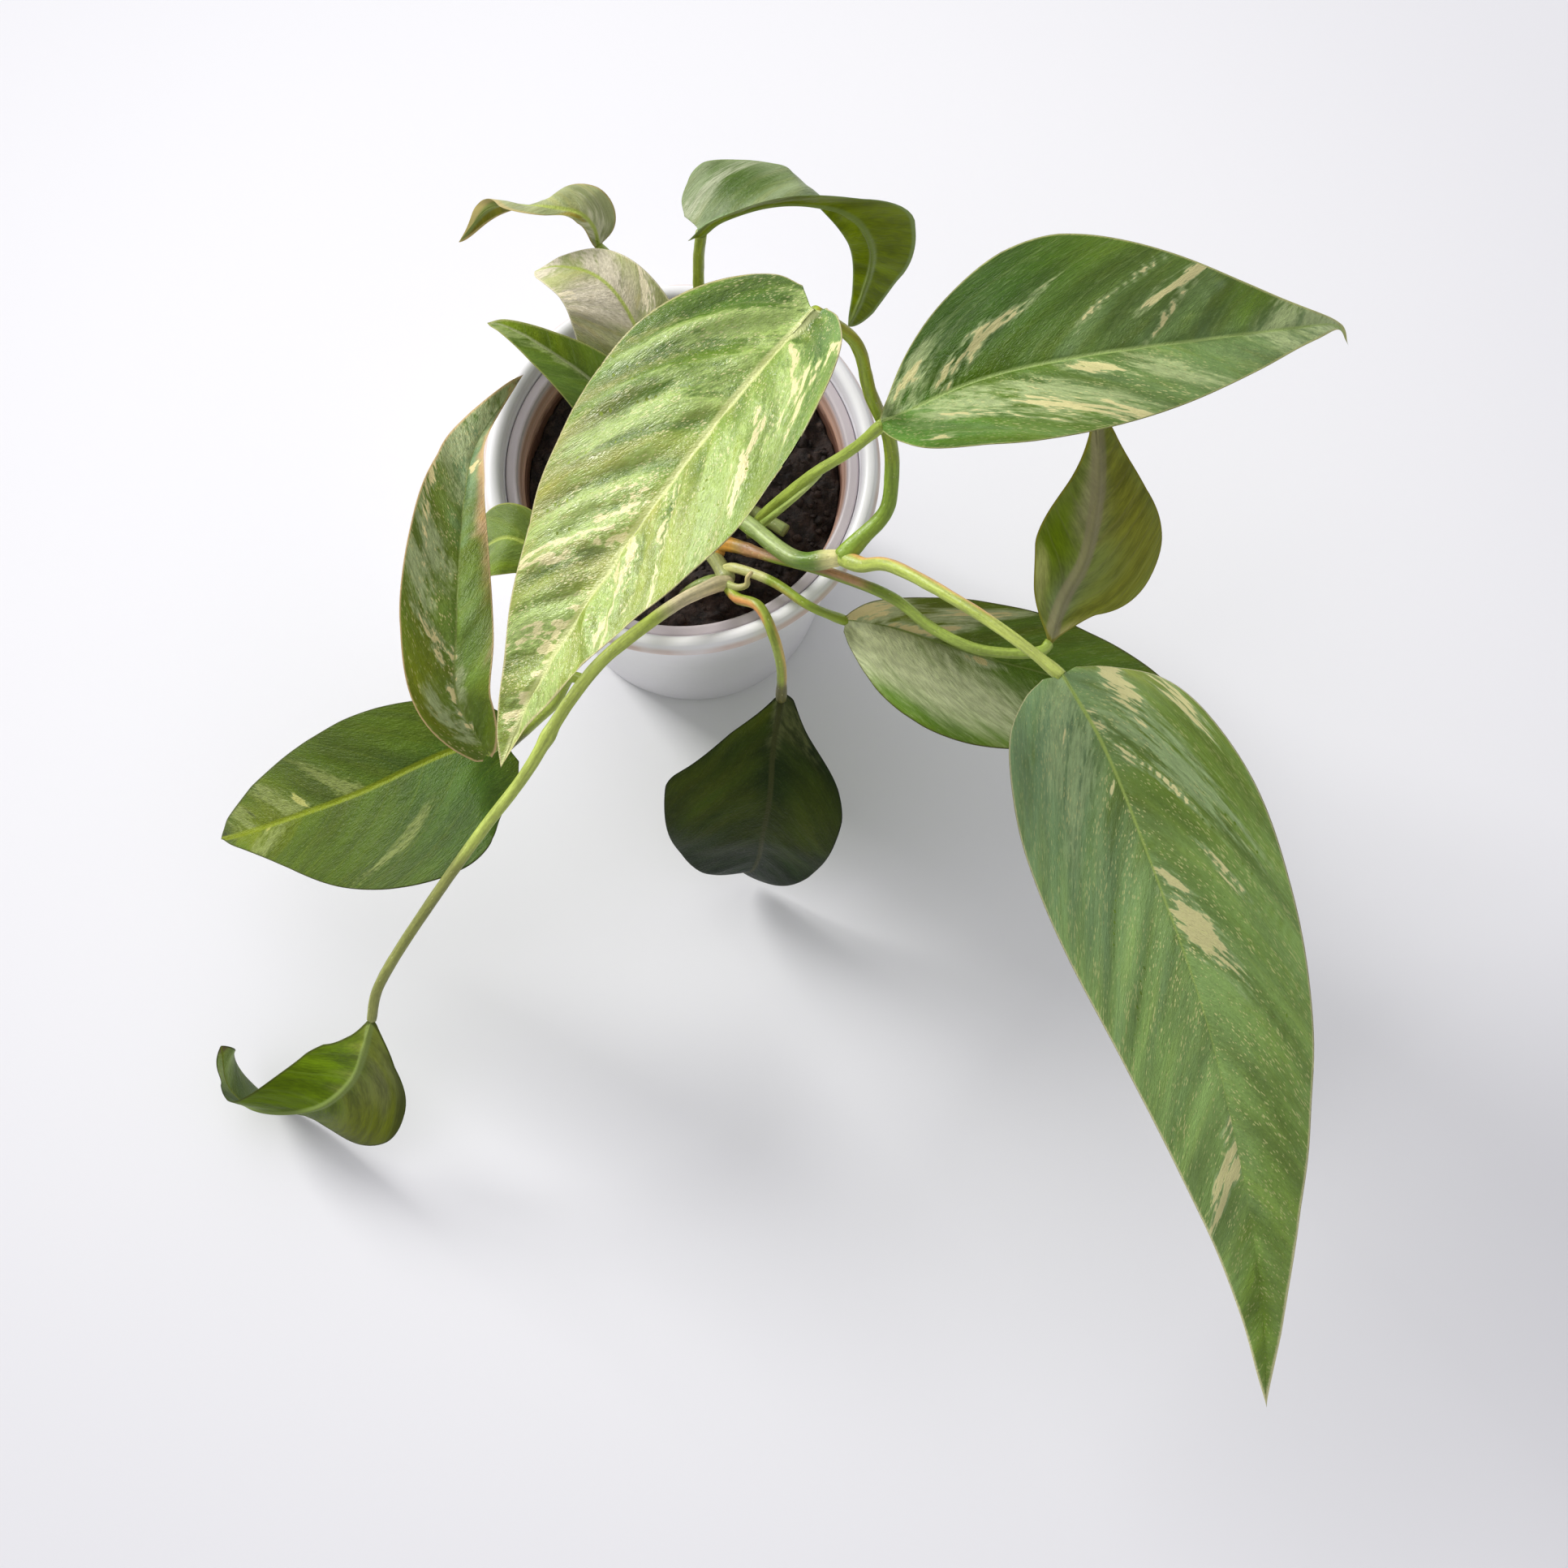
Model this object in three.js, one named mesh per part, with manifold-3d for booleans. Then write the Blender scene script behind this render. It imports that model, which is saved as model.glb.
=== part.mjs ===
// A trailing pothos in a small cachepot: pots, soil, vines, leaf stalks, two cut stubs and fourteen blades.
// Millimetres, +Z up. The origin is the centre of the cachepot's flat base.
import * as THREE from 'three';
import { mergeVertices } from 'three/addons/utils/BufferGeometryUtils.js';
import Module from 'manifold-3d';

const wasm = await Module();
wasm.setup();

// Driving dimensions
const POT_HEIGHT = 88;
const RIM_RADIUS = 50;
const BASE_RADIUS = 36;
const POT_WALL = 1.6;
const GAP = 0.3;
const SOIL_LEVEL = 75;
const SOIL_RADIUS = 39;
const DRAIN_HOLES = 5;
const DRAIN_RADIUS = 4;
const LATHE_STEPS = 40;
const BLADE_THICKNESS = 0.7;
const RIB_THICKNESS = 0.7;
const BLADE_ROWS = 14;
const BLADE_HALF_COLUMNS = 3;
const STALK_SIDES = 8;

// Half of a pothos blade of unit length and unit half-width, from the stalk to the tip. Each row follows a
// side vein: [where it leaves the midrib, how far along it ends, half-width there].
const BLADE_OUTLINE = [
  [0, -0.05, 0.22], [0.02, -0.045, 0.46], [0.06, 0.02, 0.72], [0.13, 0.11, 0.9], [0.22, 0.22, 1],
  [0.33, 0.35, 0.97], [0.45, 0.5, 0.82], [0.58, 0.65, 0.6], [0.71, 0.77, 0.4], [0.83, 0.87, 0.24],
  [0.93, 0.95, 0.11], [1, 1, 0],
];

// midrib: the points that the midrib passes through, from the stalk to the tip.
// facing: which way the upper side looks, spread evenly from the stalk to the tip.
// halfWidth, fold, curl, shift, lobe, taper and wedge: [right half, left half], seen from above with the tip
// ahead. A half rises by fold degrees, [at the stalk, at the tip], and bends by curl degrees across its width.
// shift moves the widest place towards the tip, lobe is how far the base reaches back past the stalk,
// taper narrows the ends and wedge narrows the base. wave is [height, waves along the edge, phase].
const PLAIN_BLADE = { shift: [0, 0], lobe: [1, 1], taper: [1, 1], wedge: [0, 0], wave: [0, 2, 0] };
const BLADES = {
  crown: {
    midrib: [[32, -7, 182], [18, -25, 185], [1, -47, 181], [-16, -69, 171], [-27, -84, 160], [-34, -96, 150]],
    facing: [[-0.1, -0.1, 1], [-0.15, 0, 1], [-0.2, 0, 1]],
    halfWidth: [29, 28], fold: [[5, 12], [42, 35]], curl: [-20, -10],
    shift: [0.15, 0.3], lobe: [0.65, 0.3], taper: [1, 1.55], wedge: [0.05, 0.2],
  },
  right: {
    midrib: [[48, -14, 142], [68, -7, 149], [91, -2, 151], [119, 4, 147], [143, 11, 139], [154, 15, 132],
      [158, 12.5, 127]],
    facing: [[0, 0.1, 1], [0, 0, 1], [0, 0, 1]],
    halfWidth: [24.5, 28], fold: [[38, 25], [25, 15]], curl: [-20, -10],
    shift: [0.2, 0.35], lobe: [0.1, 0.1], taper: [1.5, 1.7], wedge: [0, 0.5],
  },
  front_right: {
    midrib: [[87, -71, 135], [94.5, -89, 142], [104, -116, 142], [115, -148, 136], [123.5, -180, 124],
      [128.5, -205, 112], [131, -227, 100]],
    facing: [[0, 0, 1], [0, 0, 1], [0.1, 0, 1]],
    halfWidth: [25, 27], fold: [[12, 12], [12, 12]], curl: [-20, -20],
    shift: [0, 0.2], lobe: [0.1, 0.1], taper: [1.15, 1.35], wedge: [0, -0.15],
  },
  back: {
    midrib: [[7, 29, 150], [12, 30.5, 154], [22, 31.5, 158], [32, 30.5, 160], [41, 29.5, 156], [46, 28.5, 142],
      [44.5, 29, 120], [41.5, 29, 104]],
    facing: [[0, 0.4, 0.9], [0, 0.65, 0.7], [0.1, 1, -0.1], [0.3, 0.9, -0.3], [0.4, 0.9, 0]],
    halfWidth: [9.3, 13], fold: [[30, 10], [25, 20]], curl: [0, 0],
    shift: [0.1, -0.6], lobe: [0.5, 0.7], taper: [0.55, 0.9], wedge: [0.3, -0.9],
  },
  back_left: {
    midrib: [[-20, 47, 112], [-21, 49, 118], [-25, 51, 121], [-35, 53, 120], [-47, 59, 109], [-57, 57, 95]],
    facing: [[0.5, -0.8, 0.3], [0.2, -0.1, 1], [0.2, 0.8, 0.35], [0.4, 0.7, -0.3], [0.57, 0.55, -0.48]],
    halfWidth: [7.2, 3.2], fold: [[5, 10], [5, 10]], curl: [0, 0],
    shift: [-0.8, 0], lobe: [0.3, 0.3], taper: [0.7, 1], wedge: [0.75, 0.3],
  },
  rear_left: {
    midrib: [[-2, 7, 88], [-7, 19, 104], [-13, 30, 113], [-20, 37, 115], [-29, 41, 112], [-36, 43, 106]],
    facing: [[-0.3, -0.5, 0.8], [-0.2, -0.2, 0.9], [-0.2, 0.4, 0.8]],
    halfWidth: [11.5, 16], fold: [[10, 10], [10, 10]], curl: [-20, -20],
    shift: [0.3, 0.3], lobe: [0.2, 0.2], taper: [1, 0.8], wedge: [0.7, 0.5],
  },
  left_small: {
    midrib: [[-10, 4, 92], [-20, 13, 104], [-32, 20, 110], [-41, 25, 111], [-47, 28, 108]],
    facing: [[0, 0, 1], [0, 0, 1]],
    halfWidth: [8, 13], fold: [[30, 30], [30, 30]], curl: [0, 0],
  },
  left: {
    midrib: [[-44, -80, 104], [-50, -69, 112], [-50, -55, 117], [-50, -38, 117], [-50, -20, 113],
      [-48, -3, 108], [-39, 19, 98]],
    facing: [[0.2, 0, 1], [0.2, 0, 1], [0.3, 0, 1]],
    halfWidth: [9, 13.5], fold: [[20, 20], [10, 20]], curl: [0, 0],
    shift: [0, 0.2], lobe: [0.3, 0.2], taper: [1.6, 1], wedge: [0, 0.35], wave: [2, 2, 0],
  },
  front_left: {
    midrib: [[-44, -68, 66], [-57, -70, 70], [-81, -80, 66], [-100, -84, 56], [-115, -86, 46], [-122, -86, 40]],
    facing: [[0, 0, 1], [0, 0, 1]],
    halfWidth: [18.5, 30], fold: [[15, 15], [5, 5]], curl: [0, 0],
    shift: [0.5, 0.1], lobe: [0.5, 0.5], taper: [0.8, 1.3], wedge: [0.4, 0],
  },
  trailing: {
    midrib: [[-78, -136, 52], [-81, -143, 44], [-86, -149, 34], [-95, -154, 25], [-107, -155, 17],
      [-117, -153, 13], [-123, -147, 15], [-123, -138, 23]],
    facing: [[0.2, 0.3, -0.9], [0, 0.4, -0.9], [0.1, 0.9, 0.1], [0.4, 0.5, 0.9]],
    halfWidth: [19, 14], fold: [[10, 10], [15, 15]], curl: [0, 0],
    shift: [0.45, 0.3], lobe: [0.2, 0.2], taper: [0.75, 0.75], wedge: [0.9, 0.9],
  },
  front: {
    midrib: [[25, -56, 68], [23, -67, 62], [22, -78, 52], [20, -85, 38], [19, -87, 24], [17, -88, 12],
      [14, -87, 4]],
    facing: [[0, -0.3, 1], [0, -0.7, 0.7], [0, -1, -0.2]],
    halfWidth: [28, 20], fold: [[-25, 15], [-25, 35]], curl: [-10, -10],
    shift: [0.6, 0.6], lobe: [0.3, 0.3], taper: [0.6, 0.6], wedge: [1, 0.8],
  },
  right_low: {
    midrib: [[41, -41, 85], [51, -43, 87], [63, -47, 87], [75, -50.5, 85], [89, -53, 81], [108, -57, 75],
      [124, -62, 67], [137, -69, 58]],
    facing: [[0, 0, 1], [0, 0, 1]],
    halfWidth: [23, 20], fold: [[8, 8], [75, 45]], curl: [-10, 0],
    shift: [0.2, 0.2], lobe: [0, 0], taper: [1.2, 1.1], wedge: [0.2, 0.5],
  },
  twisted: {
    midrib: [[89, -52, 101], [92, -43, 105], [97, -34, 110], [99, -23, 118], [99, -13, 123], [98, -4, 127],
      [98, 10, 131]],
    facing: [[0, 0.5, -0.85], [0, 0.5, -0.85], [0.3, 0.5, -0.85]],
    halfWidth: [12.8, 21], fold: [[20, 20], [20, 20]], curl: [10, 10],
    shift: [0.35, 0.35], lobe: [0.2, 0.2], taper: [3.6, 3.2], wedge: [0, 0.4],
  },
  left_low: {
    midrib: [[-29, -30, 92], [-37, -25, 96], [-43, -23, 95], [-49, -23, 86], [-53, -24, 68], [-55, -26, 52]],
    facing: [[0, 0, 1], [-0.6, 0.1, 1], [-1, -0.3, 0.3]],
    halfWidth: [9, 12], fold: [[10, 10], [10, 10]], curl: [0, 0],
    lobe: [0, 0], wedge: [0.5, 0.7],
  },
};

// Vines and leaf stalks: the points of the centre line and the radius at each end. A stalk's last point is
// where its blade's midrib starts, and it stops short of it by STALK_END_GAP.
const STALK_END_GAP = 1.5;
const VINES = {
  thick: { path: [[-2, 10, 60], [0, 8, 74], [4, 1, 81], [10, -11, 89], [19, -22, 97], [29, -32, 104],
    [40, -33, 108]], radius: [2.1, 2.1] },
  thin: { path: [[3, -13, 60], [5, -17, 74], [9, -24, 81], [12, -31, 85]], radius: [2, 2] },
  rear: { path: [[-10, 9, 60], [-11, 10, 74], [-10, 12, 84]], radius: [1.8, 1.8] },
  trailing: { path: [[8, -33, 88], [-1, -40, 94], [-13, -51, 98], [-20, -58, 98], [-28, -68, 94],
    [-37, -81, 87], [-49, -94, 78], [-64, -112, 67], [-75, -127, 58], [-78, -136, 52]], radius: [1.7, 1.3] },
};
const STALKS = {
  crown: { path: [[43, -30, 110], [49.5, -24, 114], [51, -17, 118], [50, -11, 128], [45, -8.5, 146],
    [41, -6, 166], [32, -7, 182]], radius: [1.9, 1.3] },
  right: { path: [[16, -13, 60], [18, -14, 76], [21, -14, 88], [32, -14, 112], [41, -14, 127],
    [48, -14, 142]], radius: [1.6, 1.2] },
  front_right: { path: [[44, -36, 111], [51, -39, 118], [65, -51, 128], [77, -62, 134], [87, -71, 135]],
    radius: [1.7, 1.2] },
  back: { path: [[-7, 13, 86], [2, 22, 92], [6, 27, 101], [5.5, 28.5, 122], [6, 29, 138], [7, 29, 150]],
    radius: [1.5, 1.3] },
  back_left: { path: [[-11, 16, 87], [-12, 28, 95], [-14, 39, 101], [-17, 46, 106], [-20, 47, 112]],
    radius: [1.2, 1] },
  rear_left: { path: [[-9, 1, 60], [-8, 2, 74], [-2, 7, 88]], radius: [1.2, 1.2] },
  left_small: { path: [[-3, -6, 60], [-5, -4, 76], [-7, -1, 85], [-10, 4, 92]], radius: [1.2, 1.1] },
  left: { path: [[-8, -14, 60], [-10, -18, 78], [-18, -36, 98], [-30, -56, 105], [-40, -75, 102],
    [-44, -80, 104]], radius: [1.4, 1.2] },
  front_left: { path: [[-26, -59, 95], [-30, -63, 88], [-37, -66, 78], [-44, -68, 66]], radius: [1.4, 1.2] },
  front: { path: [[14, -36, 88], [19.5, -40, 93], [23, -46.8, 92], [25, -52, 82], [25, -56, 68]],
    radius: [1.4, 1.2] },
  right_low: { path: [[14, -28, 87], [23, -33, 91], [32, -40, 93], [41, -41, 85]], radius: [1.3, 1.1] },
  twisted: { path: [[11, -20, 83], [23, -27, 92], [32, -32, 99], [42, -37, 103], [52, -42, 104],
    [61, -49, 103], [71, -54, 103], [81, -55, 102], [87, -54, 101], [89, -52, 101]], radius: [1.4, 1.3] },
  left_low: { path: [[-14, -8, 60], [-14, -12, 78], [-17, -23, 88], [-23, -30, 91], [-29, -30, 92]],
    radius: [1.2, 1.1] },
};

// Short stumps of cut stems that stick out of the soil.
const STUBS = {
  rear: { path: [[15, -5, 66], [18, -8, 74], [22, -12, 78], [26, -15, 79]], radius: [1.8, 1.7] },
  front: { path: [[-3, -33, 66], [1, -30, 74], [6, -28, 77], [11, -27, 77]], radius: [1.6, 1.5] },
};

const vectors = (points) => points.map(([x, y, z]) => new THREE.Vector3(x, y, z));
const smooth = (points) => new THREE.CatmullRomCurve3(vectors(points), false, 'catmullrom', 0.5);

function closedGeometry(positions, faces) {
  const geometry = new THREE.BufferGeometry();
  geometry.setAttribute('position', new THREE.Float32BufferAttribute(positions.flatMap((p) => p.toArray()), 3));
  geometry.setIndex(faces.filter(([a, b, c]) => a !== b && b !== c && c !== a).flat());
  geometry.computeVertexNormals();
  return geometry;
}

// One point of a blade half: where it lies, which way its upper side looks and half the thickness there.
function bladePoint(blade, side, row, across) {
  const half = side > 0 ? 0 : 1;
  const unit = smooth(BLADE_OUTLINE).getPoint(row);
  const narrow = 1 - blade.wedge[half] * Math.max(0, 1 - unit.x / 0.3) ** 1.5;
  const reach = Math.max(0, unit.z) ** blade.taper[half] * narrow * blade.halfWidth[half];
  const back = unit.y < unit.x ? unit.x + (unit.y - unit.x) * blade.lobe[half] : unit.y;
  const along = back + blade.shift[half] * Math.max(0, back) * (1 - back);
  const meanShift = (blade.shift[0] + blade.shift[1]) / 2;
  const station = THREE.MathUtils.clamp(unit.x + meanShift * unit.x * (1 - unit.x), 0, 1);

  const midrib = smooth(blade.midrib);
  const ahead = midrib.getTangentAt(station);
  const up = smooth(blade.facing).getPoint(station).projectOnPlane(ahead).normalize();
  const sideways = new THREE.Vector3().crossVectors(ahead, up).multiplyScalar(side);

  const fold = THREE.MathUtils.degToRad(THREE.MathUtils.lerp(...blade.fold[half], station));
  const curl = THREE.MathUtils.degToRad(blade.curl[half] || 0.01);
  const turned = fold + curl * across;
  const [height, waves, phase] = blade.wave;
  const ripple = height * Math.sin(2 * Math.PI * waves * station + phase + (side > 0 ? 0 : 2.1))
    * across ** 2 * Math.min(1, unit.z * 2.5);
  const point = midrib.getPointAt(station)
    .addScaledVector(ahead, (along - station) * midrib.getLength() * across ** 1.3)
    .addScaledVector(sideways, reach * (Math.sin(turned) - Math.sin(fold)) / curl)
    .addScaledVector(up, reach * (Math.cos(fold) - Math.cos(turned)) / curl + ripple);
  const upper = across === 0 ? up.clone()
    : up.clone().multiplyScalar(Math.cos(turned)).addScaledVector(sideways, -Math.sin(turned));
  const thickness = BLADE_THICKNESS * (1 - across ** 2) + RIB_THICKNESS * (1 - across) ** 2;
  return { point, upper, offset: thickness / 2 * Math.min(1, reach / 3) };
}

// A blade is a thin lens in section: full over the midrib and sharp along its edge and at its tip.
function bladeGeometry(blade) {
  const positions = [];
  const top = [];
  const bottom = [];
  for (let i = 0; i < BLADE_ROWS; i += 1) {
    top.push([]);
    bottom.push([]);
    for (let j = -BLADE_HALF_COLUMNS; j <= BLADE_HALF_COLUMNS; j += 1) {
      const across = Math.abs(j) / BLADE_HALF_COLUMNS;
      const { point, upper, offset } = bladePoint(blade, Math.sign(j) || 1, i / BLADE_ROWS, across);
      const thick = across === 1 ? 0 : offset;
      top[i].push(positions.push(point.clone().addScaledVector(upper, thick)) - 1);
      bottom[i].push(thick ? positions.push(point.clone().addScaledVector(upper, -thick)) - 1 : top[i].at(-1));
    }
  }
  const tip = positions.push(new THREE.Vector3(...blade.midrib.at(-1))) - 1;
  top.push(top[0].map(() => tip));
  bottom.push(top[BLADE_ROWS]);

  const faces = [];
  for (let j = 0; j < 2 * BLADE_HALF_COLUMNS; j += 1) {
    faces.push([top[0][j], bottom[0][j], bottom[0][j + 1]], [top[0][j], bottom[0][j + 1], top[0][j + 1]]);
    for (let i = 0; i < BLADE_ROWS; i += 1) {
      const [a, b, c, d] = [top[i][j], top[i][j + 1], top[i + 1][j + 1], top[i + 1][j]];
      const [e, f, g, h] = [bottom[i][j], bottom[i][j + 1], bottom[i + 1][j + 1], bottom[i + 1][j]];
      faces.push([a, b, c], [a, c, d], [e, g, f], [e, h, g]);
    }
  }
  return closedGeometry(positions, faces);
}

// A round stem with closed ends. endGap is cut off the far end, and extra fattens it all over.
function stemGeometry({ path, radius }, endGap, extra = 0) {
  const route = smooth(path);
  const length = route.getLength();
  const rings = THREE.MathUtils.clamp(Math.round(length / 7), 4, 20);
  const last = 1 - endGap / length;
  const kept = Array.from({ length: rings + 1 }, (_, i) => route.getPointAt(i / rings * last));
  const centre = new THREE.CatmullRomCurve3(kept, false, 'catmullrom', 0.5);
  const { normals, binormals } = centre.computeFrenetFrames(rings, false);
  const positions = [kept[0], kept[rings]];
  const ring = (i, k) => 2 + i * STALK_SIDES + k % STALK_SIDES;
  const faces = [];
  kept.forEach((middle, i) => {
    const size = THREE.MathUtils.lerp(...radius, i / rings) + extra;
    for (let k = 0; k < STALK_SIDES; k += 1) {
      const angle = 2 * Math.PI * k / STALK_SIDES;
      positions.push(middle.clone().addScaledVector(normals[i], size * Math.cos(angle))
        .addScaledVector(binormals[i], size * Math.sin(angle)));
    }
  });
  for (let k = 0; k < STALK_SIDES; k += 1) {
    faces.push([0, ring(0, k + 1), ring(0, k)], [1, ring(rings, k), ring(rings, k + 1)]);
    for (let i = 0; i < rings; i += 1) {
      faces.push([ring(i, k), ring(i, k + 1), ring(i + 1, k + 1)]);
      faces.push([ring(i, k), ring(i + 1, k + 1), ring(i + 1, k)]);
    }
  }
  return closedGeometry(positions, faces);
}

// A profile of [radius, height] points, bottom to top outside and back down inside, turned about +Z.
function turnedGeometry(profile) {
  const outline = profile.map(([radius, height]) => new THREE.Vector2(radius, height));
  return new THREE.LatheGeometry(outline, LATHE_STEPS).rotateX(Math.PI / 2);
}

function toSolid(geometry) {
  const bare = geometry.clone();
  bare.deleteAttribute('normal');
  bare.deleteAttribute('uv');
  const merged = mergeVertices(bare, 1e-4);
  const triVerts = [];
  for (let i = 0; i < merged.index.count; i += 3) {
    const corners = [0, 1, 2].map((k) => merged.index.getX(i + k));
    if (new Set(corners).size === 3) triVerts.push(...corners);
  }
  const vertProperties = new Float32Array(merged.attributes.position.array);
  return new wasm.Manifold(new wasm.Mesh({ numProp: 3, vertProperties, triVerts: new Uint32Array(triVerts) }));
}

function carve(geometry, cutters) {
  const rest = cutters.reduce((solid, cutter) => solid.subtract(toSolid(cutter)), toSolid(geometry));
  const { vertProperties, triVerts } = rest.getMesh();
  const carved = new THREE.BufferGeometry();
  carved.setAttribute('position', new THREE.BufferAttribute(vertProperties, 3));
  carved.setIndex(new THREE.BufferAttribute(triVerts, 1));
  carved.computeVertexNormals();
  return carved;
}

// The outer pot: a tapering wall, a rolled lip and a step inside that the light band runs down to.
function cachepotGeometry() {
  const step = POT_HEIGHT - 9;
  return turnedGeometry([
    [0, 0], [BASE_RADIUS - 1, 0], [BASE_RADIUS, 1], [RIM_RADIUS - 4.5, step - 1],
    [RIM_RADIUS - 3, POT_HEIGHT - 5],
    [RIM_RADIUS - 0.6, POT_HEIGHT - 4.4], [RIM_RADIUS, POT_HEIGHT - 2.6], [RIM_RADIUS - 0.7, POT_HEIGHT - 0.6],
    [RIM_RADIUS - 2, POT_HEIGHT], [RIM_RADIUS - 3.4, POT_HEIGHT - 0.9], [RIM_RADIUS - 4.8, step + 1],
    [RIM_RADIUS - 6.2, step], [BASE_RADIUS - POT_WALL, 2.6], [0, 2.6],
  ]);
}

// The thin grow pot inside it, with a lip at the top and drain holes in its floor.
const NURSERY_FLOOR = 2.6 + GAP;
function nurseryPotGeometry() {
  const lip = POT_HEIGHT - 4;
  const shell = turnedGeometry([
    [0, NURSERY_FLOOR], [32.2, NURSERY_FLOOR], [41.6, lip - 4.2], [43.6, lip - 3.6], [43.6, lip - 0.5],
    [43, lip], [41.6, lip - 0.4], [40.9, lip - 4.2], [31.2, NURSERY_FLOOR + 1.2], [0, NURSERY_FLOOR + 1.2],
  ]);
  const holes = Array.from({ length: DRAIN_HOLES }, (_, i) => {
    const angle = 2 * Math.PI * i / DRAIN_HOLES;
    return new THREE.CylinderGeometry(DRAIN_RADIUS, DRAIN_RADIUS, 6, 12).rotateX(Math.PI / 2)
      .translate(20 * Math.cos(angle), 20 * Math.sin(angle), NURSERY_FLOOR);
  });
  return carve(shell, holes);
}

// The soil, a little mounded, with a hole for each buried stem.
function soilGeometry(buried) {
  const floor = NURSERY_FLOOR + 1.2 + GAP;
  const body = turnedGeometry([
    [0, floor], [30.6, floor], [SOIL_RADIUS, SOIL_LEVEL - 3], [SOIL_RADIUS - 1, SOIL_LEVEL - 1.4],
    [SOIL_RADIUS - 9, SOIL_LEVEL], [12, SOIL_LEVEL + 1], [0, SOIL_LEVEL + 0.6],
  ]);
  return carve(body, buried.map((stem) => stemGeometry(stem, 0, GAP)));
}

const plant = new THREE.Group();

function addNode(name, geometry, colour, roughness) {
  const material = new THREE.MeshStandardMaterial({ color: colour, roughness, metalness: 0 });
  const mesh = new THREE.Mesh(geometry, material);
  mesh.name = name;
  plant.add(mesh);
}

const isBuried = ({ path }) => path[0][2] < SOIL_LEVEL - 5;
const stems = [VINES, STALKS, STUBS].flatMap((kind) => Object.values(kind));
addNode('cachepot', cachepotGeometry(), 0xe6e2ea, 0.35);
addNode('nursery_pot', nurseryPotGeometry(), 0xb98f82, 0.5);
addNode('soil', soilGeometry(stems.filter(isBuried)), 0x2a211d, 0.95);
Object.entries(VINES).forEach(([name, vine]) => {
  addNode(`vine_${name}`, stemGeometry(vine, STALK_END_GAP), 0x8fae5c, 0.45);
});
Object.entries(STALKS).forEach(([name, stalk]) => {
  addNode(`stalk_${name}`, stemGeometry(stalk, STALK_END_GAP), 0x97b465, 0.45);
});
Object.entries(STUBS).forEach(([name, stub]) => {
  addNode(`stub_${name}`, stemGeometry(stub, 0), 0x9fb37a, 0.5);
});
Object.entries(BLADES).forEach(([name, blade]) => {
  addNode(`leaf_${name}`, bladeGeometry({ ...PLAIN_BLADE, ...blade }), 0x4f7a3a, 0.4);
});

export default plant;
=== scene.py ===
import math

import bmesh
import bpy
import numpy as np
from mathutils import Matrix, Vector


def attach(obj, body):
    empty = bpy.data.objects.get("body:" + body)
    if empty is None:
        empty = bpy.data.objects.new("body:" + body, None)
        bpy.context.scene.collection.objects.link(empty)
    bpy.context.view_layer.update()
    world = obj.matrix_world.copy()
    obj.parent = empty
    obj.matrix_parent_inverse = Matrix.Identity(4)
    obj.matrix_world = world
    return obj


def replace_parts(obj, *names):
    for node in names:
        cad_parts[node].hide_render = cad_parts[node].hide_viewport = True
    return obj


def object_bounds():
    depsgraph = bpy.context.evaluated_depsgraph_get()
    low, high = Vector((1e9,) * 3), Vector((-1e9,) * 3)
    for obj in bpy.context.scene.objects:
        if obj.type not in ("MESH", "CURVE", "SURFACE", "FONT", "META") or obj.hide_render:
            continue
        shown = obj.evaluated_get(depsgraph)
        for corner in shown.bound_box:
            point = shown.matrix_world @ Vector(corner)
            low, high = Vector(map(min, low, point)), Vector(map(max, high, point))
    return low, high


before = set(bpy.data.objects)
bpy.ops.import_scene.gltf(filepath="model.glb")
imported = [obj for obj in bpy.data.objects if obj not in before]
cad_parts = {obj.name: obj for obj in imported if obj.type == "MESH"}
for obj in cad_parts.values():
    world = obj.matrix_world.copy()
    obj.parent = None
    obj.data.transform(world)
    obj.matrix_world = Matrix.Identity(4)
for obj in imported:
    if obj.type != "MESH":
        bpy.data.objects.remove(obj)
CAD_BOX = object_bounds()

MM = 0.001
BODY = "root"

# What daylight and a waxy skin's sheen add to a leaf's colour, and the darkest skin, as linear numbers.
SKIN_GAIN = (1.26, 1.17, 1.05)
SKIN_SHEEN = 0.016
DARKEST = 0.002

# The CAD model's driving dimensions, in millimetres.
POT_HEIGHT = 88
RIM_RADIUS = 50
BASE_RADIUS = 36
SOIL_LEVEL = 75

# The soil's edge at the grow pot's wall, its flat bottom, and how far out its crumbs lie, in millimetres.
SOIL_RADIUS = 40
SOIL_FLOOR = 4.4
SOIL_FLOOR_RADIUS = 31
CRUMB_REACH = 38.2

# A midrib's radius at the stalk and at the tip, and how far blades stay inside the CAD model's box, in mm.
RIB_START = 1.15
RIB_END = 0.35
INSIDE_BOX = 0.02

# How finely the pieces are cut up, and how many crumbs lie on the soil.
BLADE_ROWS = 110
BLADE_HALF_COLUMNS = 26
LATHE_STEPS = 192
SOIL_SPOKES = 260
SOIL_RINGS = 84
CRUMBS = 420

# How much wider than a blade its streaks are laid out, and how softly a stem's colour bands begin and end.
FLOW_WIDTH = 1.3
BAND_BLUR = 0.03

# Half of a blade of unit length and unit half-width, from the stalk to the tip. Each row follows a side
# vein: where it leaves the midrib, how far along it ends, half-width there.
OUTLINE = [(0, -0.05, 0.22), (0.02, -0.045, 0.46), (0.06, 0.02, 0.72), (0.13, 0.11, 0.9), (0.22, 0.22, 1),
    (0.33, 0.35, 0.97), (0.45, 0.5, 0.82), (0.58, 0.65, 0.6), (0.71, 0.77, 0.4), (0.83, 0.87, 0.24),
    (0.93, 0.95, 0.11), (1, 1, 0)]

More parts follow.
